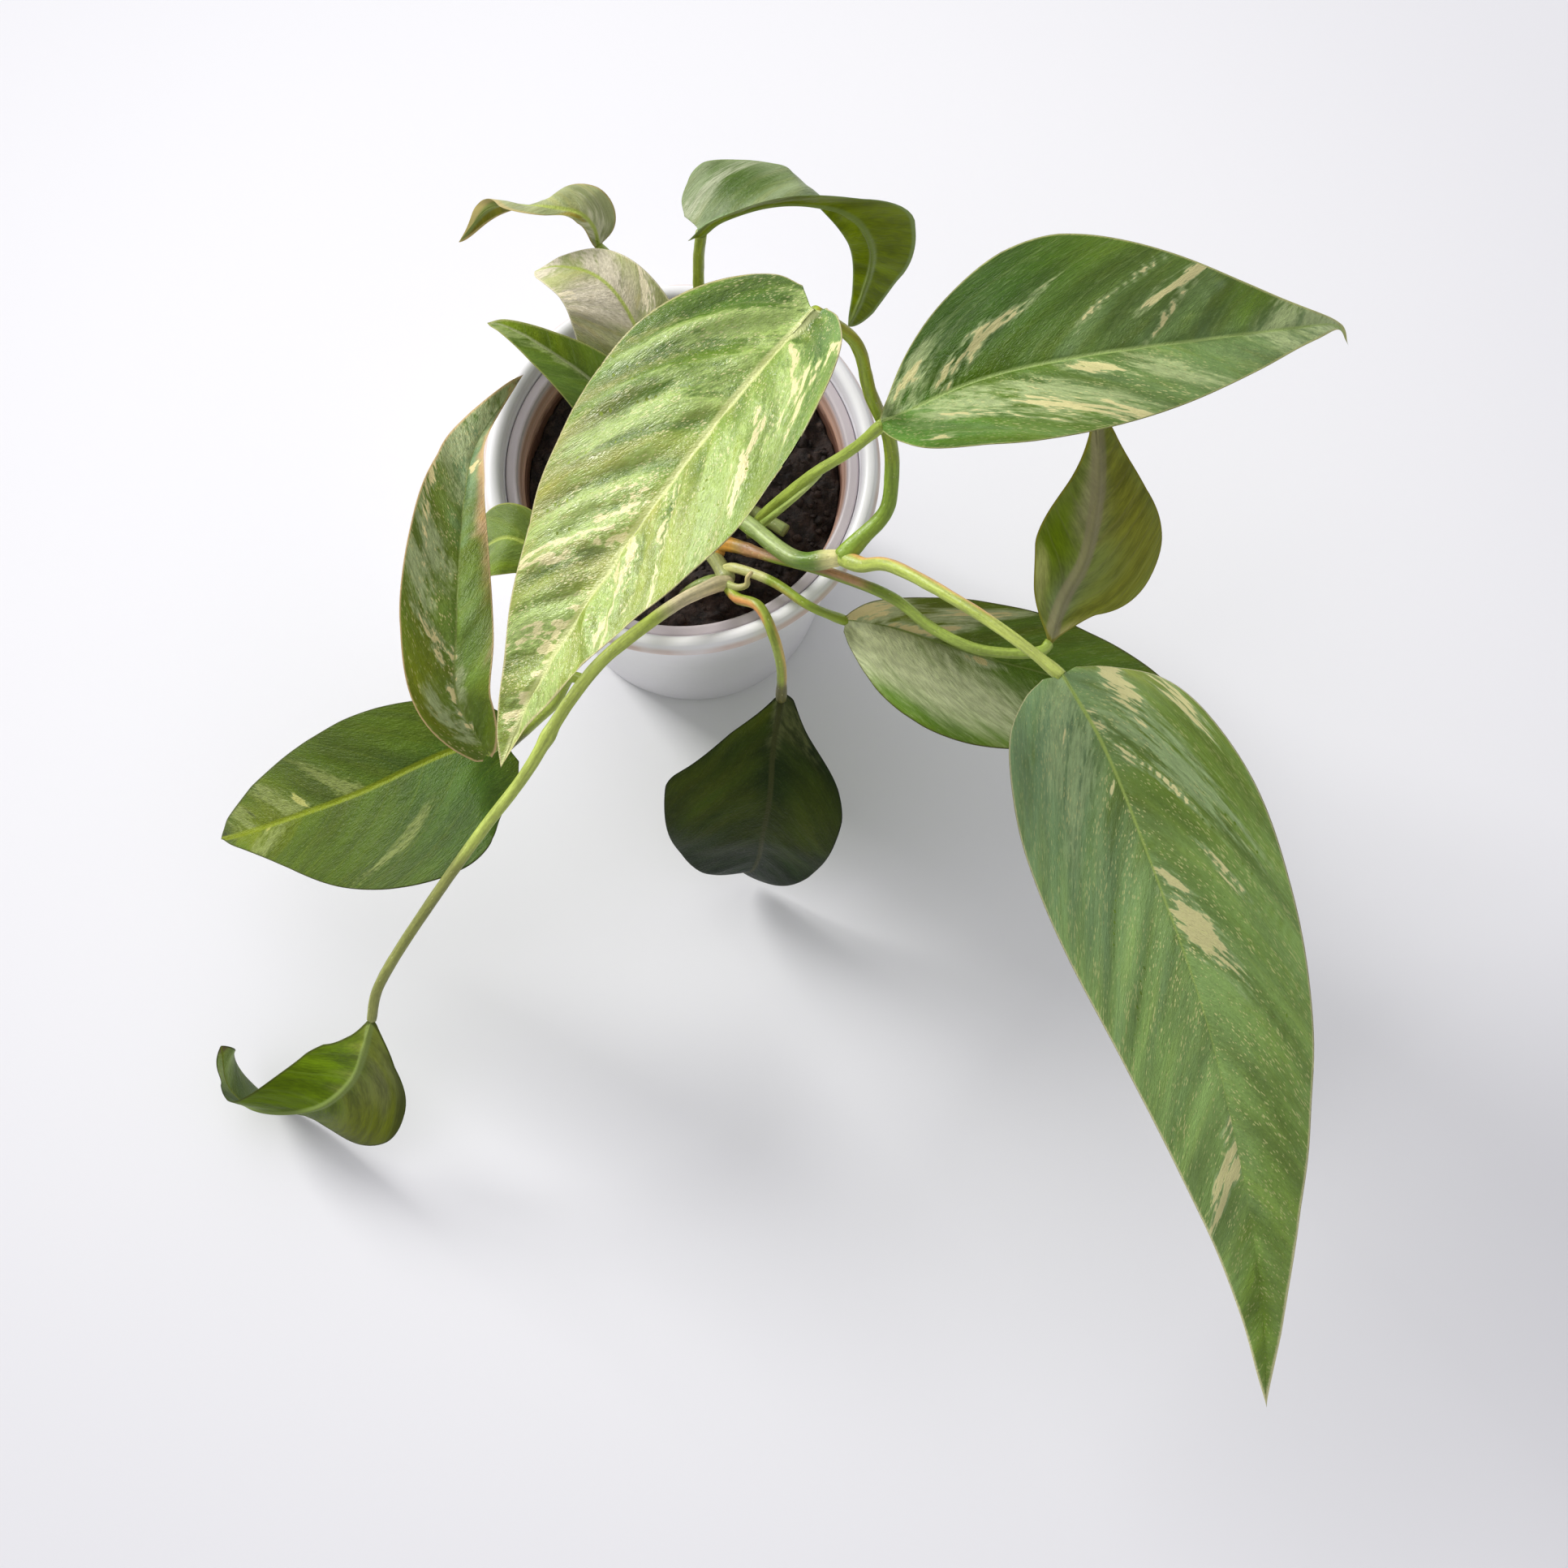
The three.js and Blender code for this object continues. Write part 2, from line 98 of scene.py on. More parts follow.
# The CAD model's blades, in millimetres and degrees. Pairs are [right half, left half], and a half's fold is
# [at the stalk, at the tip]. wave is [height, waves, phase].
PLAIN_BLADE = dict(facing=[[0, 0, 1], [0, 0, 1]], fold=[[10, 10], [10, 10]], curl=[0, 0], shift=[0, 0.2],
    lobe=[0.2, 0.2], taper=[1, 1], wave=[0, 2, 0])
BLADES = {
    "crown": dict(
        midrib=[[32, -7, 182], [18, -25, 185], [1, -47, 181], [-16, -69, 171], [-27, -84, 160],
            [-34, -96, 150]],
        facing=[[-0.1, -0.1, 1], [-0.15, 0, 1], [-0.2, 0, 1]], half_width=[29, 28],
        fold=[[5, 12], [42, 35]], curl=[-20, -10], shift=[0.15, 0.3], lobe=[0.65, 0.3], taper=[1, 1.55],
        wedge=[0.05, 0.2]),
    "right": dict(
        midrib=[[48, -14, 142], [68, -7, 149], [91, -2, 151], [119, 4, 147], [143, 11, 139], [154, 15, 132],
            [158, 12.5, 127]],
        facing=[[0, 0.1, 1], [0, 0, 1], [0, 0, 1]], half_width=[24.5, 28], fold=[[38, 25], [25, 15]],
        curl=[-20, -10], shift=[0.2, 0.35], lobe=[0.1, 0.1], taper=[1.5, 1.7], wedge=[0, 0.5]),
    "front_right": dict(
        midrib=[[87, -71, 135], [94.5, -89, 142], [104, -116, 142], [115, -148, 136], [123.5, -180, 124],
            [128.5, -205, 112], [131, -227, 100]],
        facing=[[0, 0, 1], [0, 0, 1], [0.1, 0, 1]], half_width=[25, 27], fold=[[12, 12], [12, 12]],
        curl=[-20, -20], lobe=[0.1, 0.1], taper=[1.15, 1.35], wedge=[0, -0.15]),
    "back": dict(
        midrib=[[7, 29, 150], [12, 30.5, 154], [22, 31.5, 158], [32, 30.5, 160], [41, 29.5, 156],
            [46, 28.5, 142], [44.5, 29, 120], [41.5, 29, 104]],
        facing=[[0, 0.4, 0.9], [0, 0.65, 0.7], [0.1, 1, -0.1], [0.3, 0.9, -0.3], [0.4, 0.9, 0]],
        half_width=[9.3, 13], fold=[[30, 10], [25, 20]], shift=[0.1, -0.6], lobe=[0.5, 0.7],
        taper=[0.55, 0.9], wedge=[0.3, -0.9]),
    "back_left": dict(
        midrib=[[-20, 47, 112], [-21, 49, 118], [-25, 51, 121], [-35, 53, 120], [-47, 59, 109],
            [-57, 57, 95]],
        facing=[[0.5, -0.8, 0.3], [0.2, -0.1, 1], [0.2, 0.8, 0.35], [0.4, 0.7, -0.3], [0.57, 0.55, -0.48]],
        half_width=[7.2, 3.2], fold=[[5, 10], [5, 10]], shift=[-0.8, 0], lobe=[0.3, 0.3], taper=[0.7, 1],
        wedge=[0.75, 0.3]),
    "rear_left": dict(
        midrib=[[-2, 7, 88], [-7, 19, 104], [-13, 30, 113], [-20, 37, 115], [-29, 41, 112], [-36, 43, 106]],
        facing=[[-0.3, -0.5, 0.8], [-0.2, -0.2, 0.9], [-0.2, 0.4, 0.8]], half_width=[11.5, 16],
        curl=[-20, -20], shift=[0.3, 0.3], taper=[1, 0.8], wedge=[0.7, 0.5]),
    "left_small": dict(
        midrib=[[-10, 4, 92], [-20, 13, 104], [-32, 20, 110], [-41, 25, 111], [-47, 28, 108]],
        half_width=[8, 13], fold=[[30, 30], [30, 30]], shift=[0, 0], lobe=[1, 1], wedge=[0, 0]),
    "left": dict(
        midrib=[[-44, -80, 104], [-50, -69, 112], [-50, -55, 117], [-50, -38, 117], [-50, -20, 113],
            [-48, -3, 108], [-39, 19, 98]],
        facing=[[0.2, 0, 1], [0.2, 0, 1], [0.3, 0, 1]], half_width=[9, 13.5], fold=[[20, 20], [10, 20]],
        lobe=[0.3, 0.2], taper=[1.6, 1], wedge=[0, 0.35], wave=[2, 2, 0]),
    "front_left": dict(
        midrib=[[-44, -68, 66], [-57, -70, 70], [-81, -80, 66], [-100, -84, 56], [-115, -86, 46],
            [-122, -86, 40]],
        half_width=[18.5, 30], fold=[[15, 15], [5, 5]], shift=[0.5, 0.1], lobe=[0.5, 0.5], taper=[0.8, 1.3],
        wedge=[0.4, 0]),
    "trailing": dict(
        midrib=[[-78, -136, 52], [-81, -143, 44], [-86, -149, 34], [-95, -154, 25], [-107, -155, 17],
            [-117, -153, 13], [-123, -147, 15], [-123, -138, 23]],
        facing=[[0.2, 0.3, -0.9], [0, 0.4, -0.9], [0.1, 0.9, 0.1], [0.4, 0.5, 0.9]], half_width=[19, 14],
        fold=[[10, 10], [15, 15]], shift=[0.45, 0.3], taper=[0.75, 0.75], wedge=[0.9, 0.9]),
    "front": dict(
        midrib=[[25, -56, 68], [23, -67, 62], [22, -78, 52], [20, -85, 38], [19, -87, 24], [17, -88, 12],
            [14, -87, 4]],
        facing=[[0, -0.3, 1], [0, -0.7, 0.7], [0, -1, -0.2]], half_width=[28, 20],
        fold=[[-25, 15], [-25, 35]], curl=[-10, -10], shift=[0.6, 0.6], lobe=[0.3, 0.3], taper=[0.6, 0.6],
        wedge=[1, 0.8]),
    "right_low": dict(
        midrib=[[41, -41, 85], [51, -43, 87], [63, -47, 87], [75, -50.5, 85], [89, -53, 81], [108, -57, 75],
            [124, -62, 67], [137, -69, 58]],
        half_width=[23, 20], fold=[[8, 8], [75, 45]], curl=[-10, 0], shift=[0.2, 0.2], lobe=[0, 0],
        taper=[1.2, 1.1], wedge=[0.2, 0.5]),
    "twisted": dict(
        midrib=[[89, -52, 101], [92, -43, 105], [97, -34, 110], [99, -23, 118], [99, -13, 123],
            [98, -4, 127], [98, 10, 131]],
        facing=[[0, 0.5, -0.85], [0, 0.5, -0.85], [0.3, 0.5, -0.85]], half_width=[12.8, 21],
        fold=[[20, 20], [20, 20]], curl=[10, 10], shift=[0.35, 0.35], taper=[3.6, 3.2], wedge=[0, 0.4]),
    "left_low": dict(
        midrib=[[-29, -30, 92], [-37, -25, 96], [-43, -23, 95], [-49, -23, 86], [-53, -24, 68],
            [-55, -26, 52]],
        facing=[[0, 0, 1], [-0.6, 0.1, 1], [-1, -0.3, 0.3]], half_width=[9, 12], shift=[0, 0], lobe=[0, 0],
        wedge=[0.5, 0.7]),
}

# How each blade is marked. Places and reaches are percentages. Row 0 is the side vein at the stalk and row 100
# the tip, and across runs from -100 at the left edge over 0 at the midrib to 100 at the right edge. A tint is
# [row, across, reach along, reach across, colour], and cream, pale and speckle patches are the same without a
# colour. Pale patches paint pale marbling and also sheen: those on the right halves of crown, right and
# right_low and the broad ones on rear_left are mostly painted sheen. under is the underside's colour and
# under_tints its tints; the back blade's saturated yellow-green underside is partly painted light shining
# through it. The crease colour and its share paint shade in the creases along the side veins, and the pillow
# share paints a highlight on the swells between them. Colours are 0 to 255, as on a screen.
PLAIN_LOOK = dict(under=(100, 124, 60), pale_colour=(150, 168, 118), cream_colour=(226, 222, 176),
    rib=(160, 180, 90), under_rib=(120, 140, 84), painted_crease_shade_colour=(52, 84, 8), rib_width=0.8, rib_fade=0.3,
    veins=8, vein_line=0.12, sweep=1.2, quilt=0.3, crumple=0.3, painted_pillow_highlight=0, painted_crease_shade=0.25, comb=0.4, grain=1.3,
    breakup=2.8, solid=0.62, warm=0.35, gloss=0.36, shine=0.28, tints=[], under_tints=[], cream=[], pale=[],
    speckle=[])
LOOKS = {
    "crown": dict(base=(102, 142, 22), under=(130, 152, 74), pale_colour=(160, 188, 112),
        rib=(200, 212, 152), margin=(190, 188, 140), painted_crease_shade_colour=(66, 104, 0), rib_width=1.5,
        rib_fade=0.5, veins=10, sweep=1.1, quilt=2.3, crumple=1.3, painted_pillow_highlight=0.6, painted_crease_shade=1, comb=0.6,
        grain=0.8, gloss=0.28, shine=0.8,
        tints=[[5, -50, 14, 80, (92, 136, 60)], [22, -75, 14, 60, (106, 142, 76)],
            [10, 60, 16, 80, (74, 102, 6)], [30, 35, 14, 50, (82, 112, 8)],
            [35, -50, 12, 60, (128, 158, 78)], [55, -40, 12, 70, (156, 174, 84)],
            [58, 60, 12, 60, (170, 176, 96)], [85, 60, 16, 70, (112, 132, 22)],
            [68, -75, 8, 50, (122, 146, 46)], [80, -40, 12, 60, (150, 168, 86)]],
        cream=[[24, -40, 2, 20], [31, -75, 3, 20], [40, -60, 4, 30], [50, -30, 3, 50], [56, -15, 5, 30],
            [52, 20, 5, 25], [60, 55, 4, 50], [70, 12, 10, 14], [82, 12, 12, 12], [62, -85, 4, 20],
            [72, 60, 3, 40], [20, -95, 20, 8]],
        pale=[[15, 18, 10, 12], [22, 40, 3, 25], [33, 75, 3, 20], [42, 45, 5, 35], [30, -45, 3, 25],
            [45, -60, 5, 30], [60, -50, 5, 35], [55, 50, 7, 35], [78, -35, 8, 40], [70, 50, 5, 35]],
        speckle=[[50, 0, 60, 140]]),
    "right": dict(base=(84, 112, 30), under=(110, 134, 70), pale_colour=(156, 176, 130),
        cream_colour=(208, 206, 156), rib=(150, 176, 112), margin=(164, 172, 118), sweep=1.3, quilt=0.9,
        crumple=0.35, comb=0.5, grain=0.9, solid=0.68,
        tints=[[15, -50, 20, 80, (72, 102, 2)], [35, -70, 15, 50, (64, 98, 6)],
            [15, 60, 15, 60, (84, 130, 50)], [55, -50, 12, 80, (88, 114, 54)],
            [65, 50, 25, 80, (104, 132, 84)], [85, 30, 15, 80, (110, 134, 92)]],
        cream=[[28, -30, 3, 30], [36, -45, 2, 20], [20, 80, 1.5, 15], [30, 55, 2, 30], [42, 70, 6, 35],
            [50, -60, 1.5, 40], [56, -80, 3, 25], [55, -30, 1, 30], [17, -62, 3, 12], [46, 25, 5, 15]],
        pale=[[26, 35, 8, 25], [40, 50, 8, 35], [55, 60, 5, 30], [72, 30, 5, 40], [75, -60, 6, 40],
            [15, -60, 5, 30], [85, 0, 8, 80]],
        speckle=[[45, 60, 25, 70]]),
    "front_right": dict(base=(122, 154, 94), under=(96, 122, 60), pale_colour=(140, 166, 124),
        cream_colour=(208, 208, 158), rib=(150, 176, 96), margin=(196, 200, 160), rib_fade=1, veins=11,
        vein_line=0.05, sweep=1.7, quilt=1.1, crumple=0.6, painted_pillow_highlight=0.2, solid=0.72, warm=0.2, gloss=0.34,
        tints=[[20, 50, 22, 80, (116, 148, 112)], [10, -35, 10, 30, (116, 146, 104)],
            [15, -95, 15, 30, (128, 148, 72)], [30, -50, 12, 60, (98, 124, 56)],
            [85, 0, 12, 100, (102, 132, 54)], [70, -70, 15, 40, (112, 142, 74)],
            [99, 0, 3, 100, (104, 96, 50)]],
        cream=[[13, -66, 8, 10], [22, -90, 3, 12], [20, -5, 2, 5], [26, -14, 2, 8], [31, -30, 0.8, 20],
            [42, -50, 1.5, 12], [42, -8, 2, 12], [47, -20, 5, 20], [21, 30, 0.8, 12], [31, 10, 0.6, 5],
            [68, 30, 3, 28], [65, 12, 2, 10]],
        pale=[[24, 30, 6, 30], [16, 30, 5, 30], [30, -50, 5, 30]], speckle=[[50, 0, 40, 140]]),
    # The saturated yellow-green underside is partly the blade's own colour and partly painted light shining
    # through it from behind.
    "back": dict(base=(124, 142, 108), under=(110, 130, 0), pale_colour=(160, 172, 148),
        rib=(120, 150, 104), margin=(128, 150, 100), crumple=0.25,
        tints=[[30, -60, 8, 40, (70, 96, 30)], [15, 50, 10, 50, (96, 118, 84)]],
        under_tints=[[85, 0, 20, 100, (106, 126, 0)], [50, 50, 15, 60, (100, 116, 12)]],
        pale=[[20, 20, 12, 30], [30, 60, 10, 50], [20, -60, 6, 40]]),
    "back_left": dict(base=(152, 164, 120), under=(92, 108, 2), pale_colour=(190, 196, 172),
        margin=(170, 160, 110), veins=6, quilt=0.2, crumple=0.2,
        tints=[[37, -40, 5, 30, (140, 130, 50)], [98, 0, 10, 100, (96, 56, 40)]],
        under_tints=[[98, 0, 12, 150, (92, 54, 44)], [80, 0, 10, 100, (110, 112, 10)]],
        pale=[[20, 0, 10, 60]]),
    "rear_left": dict(base=(162, 172, 120), under=(130, 144, 80), pale_colour=(200, 198, 184),
        cream_colour=(226, 222, 196), margin=(206, 206, 180), comb=0.8, gloss=0.4,
        tints=[[60, -20, 10, 80, (186, 182, 166)], [75, 30, 10, 60, (152, 164, 112)]],
        cream=[[53, 60, 4, 50], [70, -95, 20, 10], [56, 90, 3, 20]],
        pale=[[60, -30, 12, 70], [65, 40, 10, 50], [88, 0, 10, 90]]),
    "left_small": dict(base=(90, 116, 50), under=(100, 124, 50), pale_colour=(134, 154, 100),
        rib=(150, 164, 124), margin=(140, 150, 90), veins=7, quilt=0.25, crumple=0.2,
        tints=[[75, 50, 20, 70, (104, 128, 30)], [55, -60, 10, 50, (100, 130, 62)]],
        pale=[[65, -15, 20, 8], [80, -50, 10, 20]]),
    "left": dict(base=(98, 120, 46), under=(96, 116, 60), pale_colour=(148, 164, 124),
        cream_colour=(214, 206, 156), rib=(120, 140, 76), margin=(190, 170, 128), rib_width=0.4, veins=9,
        quilt=0.5, crumple=0.5, comb=0.7, gloss=0.34,
        tints=[[40, 30, 12, 60, (104, 132, 64)], [30, -70, 8, 40, (104, 118, 18)],
            [72, 20, 10, 80, (112, 142, 108)], [70, 95, 20, 25, (176, 150, 116)],
            [93, 0, 4.5, 140, (206, 146, 88)], [99.5, 0, 4, 200, (44, 32, 26)]],
        cream=[[36, -35, 3, 40], [33, -5, 5, 12], [25, -10, 5, 10], [60, -95, 25, 10], [17, 0, 3, 8],
            [68, 40, 1.5, 40]],
        pale=[[70, -50, 12, 60], [80, 0, 8, 80], [52, -60, 6, 40], [22, -30, 5, 30], [45, -70, 6, 30],
            [30, 10, 5, 15], [88, -30, 6, 80]],
        speckle=[[50, -20, 40, 90]]),
    "front_left": dict(base=(80, 104, 24), under=(96, 118, 50), pale_colour=(128, 144, 84),
        cream_colour=(170, 176, 104), rib=(124, 142, 20), margin=(72, 84, 40), rib_width=1.2, veins=9,
        quilt=0.35, crumple=0.25, comb=0.6, gloss=0.4,
        tints=[[30, -50, 20, 80, (74, 104, 46)], [60, -50, 15, 70, (74, 96, 22)],
            [30, 70, 10, 50, (84, 108, 12)], [60, 40, 15, 60, (78, 98, 18)],
            [80, 0, 12, 80, (100, 118, 10)], [95, 0, 6, 120, (54, 64, 12)]],
        cream=[[73, -2, 2, 9], [62, 25, 1.5, 15]],
        pale=[[52, 25, 4, 25], [75, -70, 5, 20], [66, 45, 4, 30], [45, -60, 3, 20], [80, 70, 5, 25]]),
    "trailing": dict(base=(78, 100, 50), under=(84, 106, 4), rib=(118, 134, 50), margin=(70, 78, 44),
        veins=7, gloss=0.45, tints=[[90, 0, 12, 150, (130, 156, 84)], [98.5, 0, 4, 200, (98, 84, 66)]],
        under_tints=[[30, -50, 30, 80, (84, 108, 0)], [30, 60, 25, 50, (106, 116, 70)],
            [60, 95, 30, 20, (58, 66, 30)], [45, 70, 8, 40, (96, 108, 20)],
            [10, 0, 12, 100, (112, 126, 60)], [72, 0, 7, 140, (120, 146, 60)]]),
    "front": dict(base=(40, 52, 4), under=(70, 88, 20), pale_colour=(86, 94, 64), rib=(64, 70, 46),
        margin=(40, 46, 14), rib_width=1, quilt=0.45, gloss=0.42, shine=0.12,
        tints=[[10, -40, 12, 40, (70, 78, 50)], [45, -60, 12, 50, (60, 72, 4)],
            [40, 60, 15, 50, (62, 74, 6)], [85, 0, 20, 120, (32, 42, 10)], [15, 70, 10, 30, (70, 84, 4)]],
        pale=[[15, -50, 6, 30], [15, -5, 10, 8]]),
    "right_low": dict(base=(100, 124, 38), pale_colour=(196, 208, 174), cream_colour=(210, 200, 152),
        rib=(120, 142, 76), margin=(86, 92, 50), rib_width=0.5, veins=9, quilt=0.4, grain=0.3, breakup=1,
        solid=0.7, gloss=0.32,
        tints=[[25, 85, 30, 22, (94, 130, 50)], [25, -50, 30, 60, (100, 114, 10)],
            [70, 0, 30, 100, (94, 126, 54)], [10, 12, 10, 10, (104, 134, 78)]],
        cream=[[27, -12, 8, 12], [13, -75, 8, 35], [42, 5, 6, 8], [33, -25, 3, 30], [36, -70, 5, 30]],
        pale=[[18, 42, 26, 42], [36, 45, 24, 40], [8, 35, 14, 30], [24, 42, 20, 30]]),
    "twisted": dict(base=(90, 114, 50), under=(112, 126, 72), rib=(120, 118, 92), under_rib=(134, 132, 108),
        margin=(120, 120, 50), rib_width=1.8, quilt=0.45, crumple=0.5, gloss=0.4,
        under_tints=[[25, -80, 15, 40, (124, 134, 56)], [20, 10, 15, 35, (112, 126, 96)],
            [40, 60, 12, 50, (88, 108, 36)], [60, 15, 15, 35, (142, 144, 112)],
            [50, -60, 15, 40, (118, 124, 54)], [80, 0, 12, 100, (116, 120, 64)],
            [28, 85, 6, 20, (150, 158, 100)], [10, -90, 10, 40, (160, 158, 110)]]),
    "left_low": dict(base=(106, 130, 60), margin=(150, 160, 84), veins=7, quilt=0.25, crumple=0.2,
        tints=[[50, -80, 20, 30, (112, 138, 40)], [90, 0, 20, 100, (58, 82, 36)]]),
}

# Vines, leaf stalks and cut stubs as in the CAD model: centre line points and the radius at each end.
STEMS = {
    "vine_thick": ([[-2, 10, 60], [0, 8, 74], [4, 1, 81], [10, -11, 89], [19, -22, 97], [29, -32, 104],
        [40, -33, 108]], [2.1, 2.1]),
    "vine_thin": ([[3, -13, 60], [5, -17, 74], [9, -24, 81], [12, -31, 85]], [2, 2]),
    "vine_rear": ([[-10, 9, 60], [-11, 10, 74], [-10, 12, 84]], [1.8, 1.8]),
    "vine_trailing": ([[8, -33, 88], [-1, -40, 94], [-13, -51, 98], [-20, -58, 98], [-28, -68, 94],
        [-37, -81, 87], [-49, -94, 78], [-64, -112, 67], [-75, -127, 58], [-78, -136, 52]], [1.7, 1.3]),
    "stalk_crown": ([[43, -30, 110], [49.5, -24, 114], [51, -17, 118], [50, -11, 128], [45, -8.5, 146],
        [41, -6, 166], [32, -7, 182]], [1.9, 1.3]),
    "stalk_right": ([[16, -13, 60], [18, -14, 76], [21, -14, 88], [32, -14, 112], [41, -14, 127],
        [48, -14, 142]], [1.6, 1.2]),
    "stalk_front_right": ([[44, -36, 111], [51, -39, 118], [65, -51, 128], [77, -62, 134], [87, -71, 135]],
        [1.7, 1.2]),
    "stalk_back": ([[-7, 13, 86], [2, 22, 92], [6, 27, 101], [5.5, 28.5, 122], [6, 29, 138], [7, 29, 150]],
        [1.5, 1.3]),
    "stalk_back_left": ([[-11, 16, 87], [-12, 28, 95], [-14, 39, 101], [-17, 46, 106], [-20, 47, 112]],
        [1.2, 1]),
    "stalk_rear_left": ([[-9, 1, 60], [-8, 2, 74], [-2, 7, 88]], [1.2, 1.2]),
    "stalk_left_small": ([[-3, -6, 60], [-5, -4, 76], [-7, -1, 85], [-10, 4, 92]], [1.2, 1.1]),
    "stalk_left": ([[-8, -14, 60], [-10, -18, 78], [-18, -36, 98], [-30, -56, 105], [-40, -75, 102],
        [-44, -80, 104]], [1.4, 1.2]),
    "stalk_front_left": ([[-26, -59, 95], [-30, -63, 88], [-37, -66, 78], [-44, -68, 66]], [1.4, 1.2]),
    "stalk_front": ([[14, -36, 88], [19.5, -40, 93], [23, -46.8, 92], [25, -52, 82], [25, -56, 68]],
        [1.4, 1.2]),
    "stalk_right_low": ([[14, -28, 87], [23, -33, 91], [32, -40, 93], [41, -41, 85]], [1.3, 1.1]),
    "stalk_twisted": ([[11, -20, 83], [23, -27, 92], [32, -32, 99], [42, -37, 103], [52, -42, 104],
        [61, -49, 103], [71, -54, 103], [81, -55, 102], [87, -54, 101], [89, -52, 101]], [1.4, 1.3]),
    "stalk_left_low": ([[-14, -8, 60], [-14, -12, 78], [-17, -23, 88], [-23, -30, 91], [-29, -30, 92]],
        [1.2, 1.1]),
    "stub_rear": ([[15, -5, 66], [18, -8, 74], [22, -12, 78], [26, -15, 79]], [1.8, 1.7]),
    "stub_front": ([[-3, -33, 66], [1, -30, 74], [6, -28, 77], [11, -27, 77]], [1.6, 1.5]),
}

# Where a stem that grows from another one starts inside it.
ROOTS = {
    "stalk_crown": [39.5, -33, 107.8], "stalk_front_right": [39.5, -33, 107.8], "stalk_back": [-10, 12, 83],
    "stalk_back_left": [-10, 12, 83], "stalk_front_left": [-22, -60, 97], "stalk_front": [11, -31, 85],
    "stalk_right_low": [11, -27, 84], "stalk_twisted": [9, -22, 80], "vine_trailing": [12, -31, 85],
}

# How each stem is coloured: base colour, then bands of [from, to, side, colour] where from and to are shares
# of its length. side "all" goes round it, and any other is the flank that faces that way. Green bands on the
# "up" flank that are lighter than the base are painted highlights, and green bands on the "down" flank that
# are darker are painted shade.
SIDES = {"up": (0, 0, 1), "down": (0, 0, -1), "left": (-1, 0, 0), "right": (1, 0, 0), "back": (0, 1, 0)}
PLAIN_STEM = ((140, 162, 70), [])
STEM_LOOKS = {
    "vine_thick": ((108, 134, 66), [[0, 0.45, "all", (122, 144, 84)], [0.3, 0.9, "up", (150, 172, 112)],
        [0.86, 0.92, "all", (96, 128, 50)], [0.94, 1, "all", (214, 214, 158)]]),
    "vine_thin": ((150, 160, 108), []),
    "vine_trailing": ((152, 172, 82), [[0, 0.14, "all", (196, 190, 160)], [0.3, 1, "down", (188, 184, 70)],
        [0.2, 1, "up", (172, 192, 100)]]),
    "stalk_crown": ((138, 160, 58), [[0, 0.3, "all", (130, 160, 66)], [0.1, 0.45, "down", (90, 112, 34)],
        [0.4, 1, "right", (142, 146, 48)]]),
    "stalk_right": ((150, 174, 80), [[0.3, 1, "up", (168, 190, 102)], [0.2, 0.7, "down", (116, 144, 50)]]),
    "stalk_front_right": ((164, 184, 94), [[0, 1, "back", (206, 164, 110)], [0, 1, "down", (136, 162, 66)],
        [0.7, 1, "all", (178, 196, 106)]]),
    "stalk_twisted": ((128, 152, 64), [[0, 0.1, "all", (196, 150, 74)], [0.1, 0.2, "all", (170, 134, 100)],
        [0.18, 0.5, "up", (172, 138, 112)], [0.4, 0.9, "down", (150, 128, 88)],
        [0.6, 1, "up", (160, 186, 92)]]),
    "stalk_right_low": ((134, 158, 62), [[0, 0.35, "all", (186, 192, 132)],
        [0.4, 1, "left", (160, 150, 84)]]),
    "stalk_front": ((140, 160, 66), [[0.1, 0.4, "left", (196, 142, 92)],
        [0.4, 0.9, "right", (186, 166, 96)], [0.85, 1, "all", (104, 116, 44)]]),
    "stalk_back": ((132, 152, 58), [[0.6, 1, "up", (150, 168, 84)]]), "stub_rear": ((140, 156, 100), []),
    "stub_front": ((134, 158, 88), [[0.85, 1, "all", (116, 134, 76)]]),
}

# Swellings of a stem: [share of its length, growth in mm, width as a share of its length].
SWELLINGS = {
    "vine_thick": [[0.93, 0.35, 0.03], [0.3, 0.15, 0.04]],
    "stalk_crown": [[0.02, 0.5, 0.06], [0.97, 0.25, 0.05]],
    "vine_trailing": [[0.42, 0.4, 0.015], [0.02, 0.3, 0.04]],
    "stalk_twisted": [[0.06, 0.5, 0.05], [0.13, 0.25, 0.02]],
    "stalk_front_right": [[0.05, 0.4, 0.06], [0.97, 0.3, 0.04]], "stalk_right": [[0.97, 0.25, 0.04]],
    "vine_thin": [[0.95, 0.4, 0.08]], "stalk_front": [[0.95, 0.25, 0.06]],
    "stalk_right_low": [[0.95, 0.25, 0.08]],
}

# Papery leftovers of leaf sheaths at the nodes: points, radii at both ends, colour and colour at the far end.
SHEATHS = {
    "sheath_front": ([[11, -31.5, 86], [14, -33.5, 88.5], [16.5, -33.6, 90.5], [16.8, -32.2, 92],
        [18, -31, 93]], [1.2, 0.5], (160, 176, 96), (206, 186, 132)),
    "sheath_right": ([[20.5, -15.6, 86], [26, -15.8, 98], [31, -15.6, 108.5], [33.4, -14.6, 112],
        [34.6, -13.2, 112.6], [34.2, -12.4, 114]], [1.1, 0.45], (176, 204, 96), (196, 210, 130)),
}


def linear(colour):
    """A colour of 0 to 255, as on a screen, as linear numbers."""
    c = np.asarray(colour, float) / 255
    return np.where(c <= 0.04045, c / 12.92, ((c + 0.055) / 1.055) ** 2.4)


def paint(colour):
    """Linear skin colour that shows as the given colour once the waxy skin's sheen is added."""
    return np.maximum(linear(colour) * np.array(SKIN_GAIN) - SKIN_SHEEN, DARKEST)


def unit(v):
    return v / np.maximum(np.linalg.norm(v, axis=-1, keepdims=True), 1e-12)


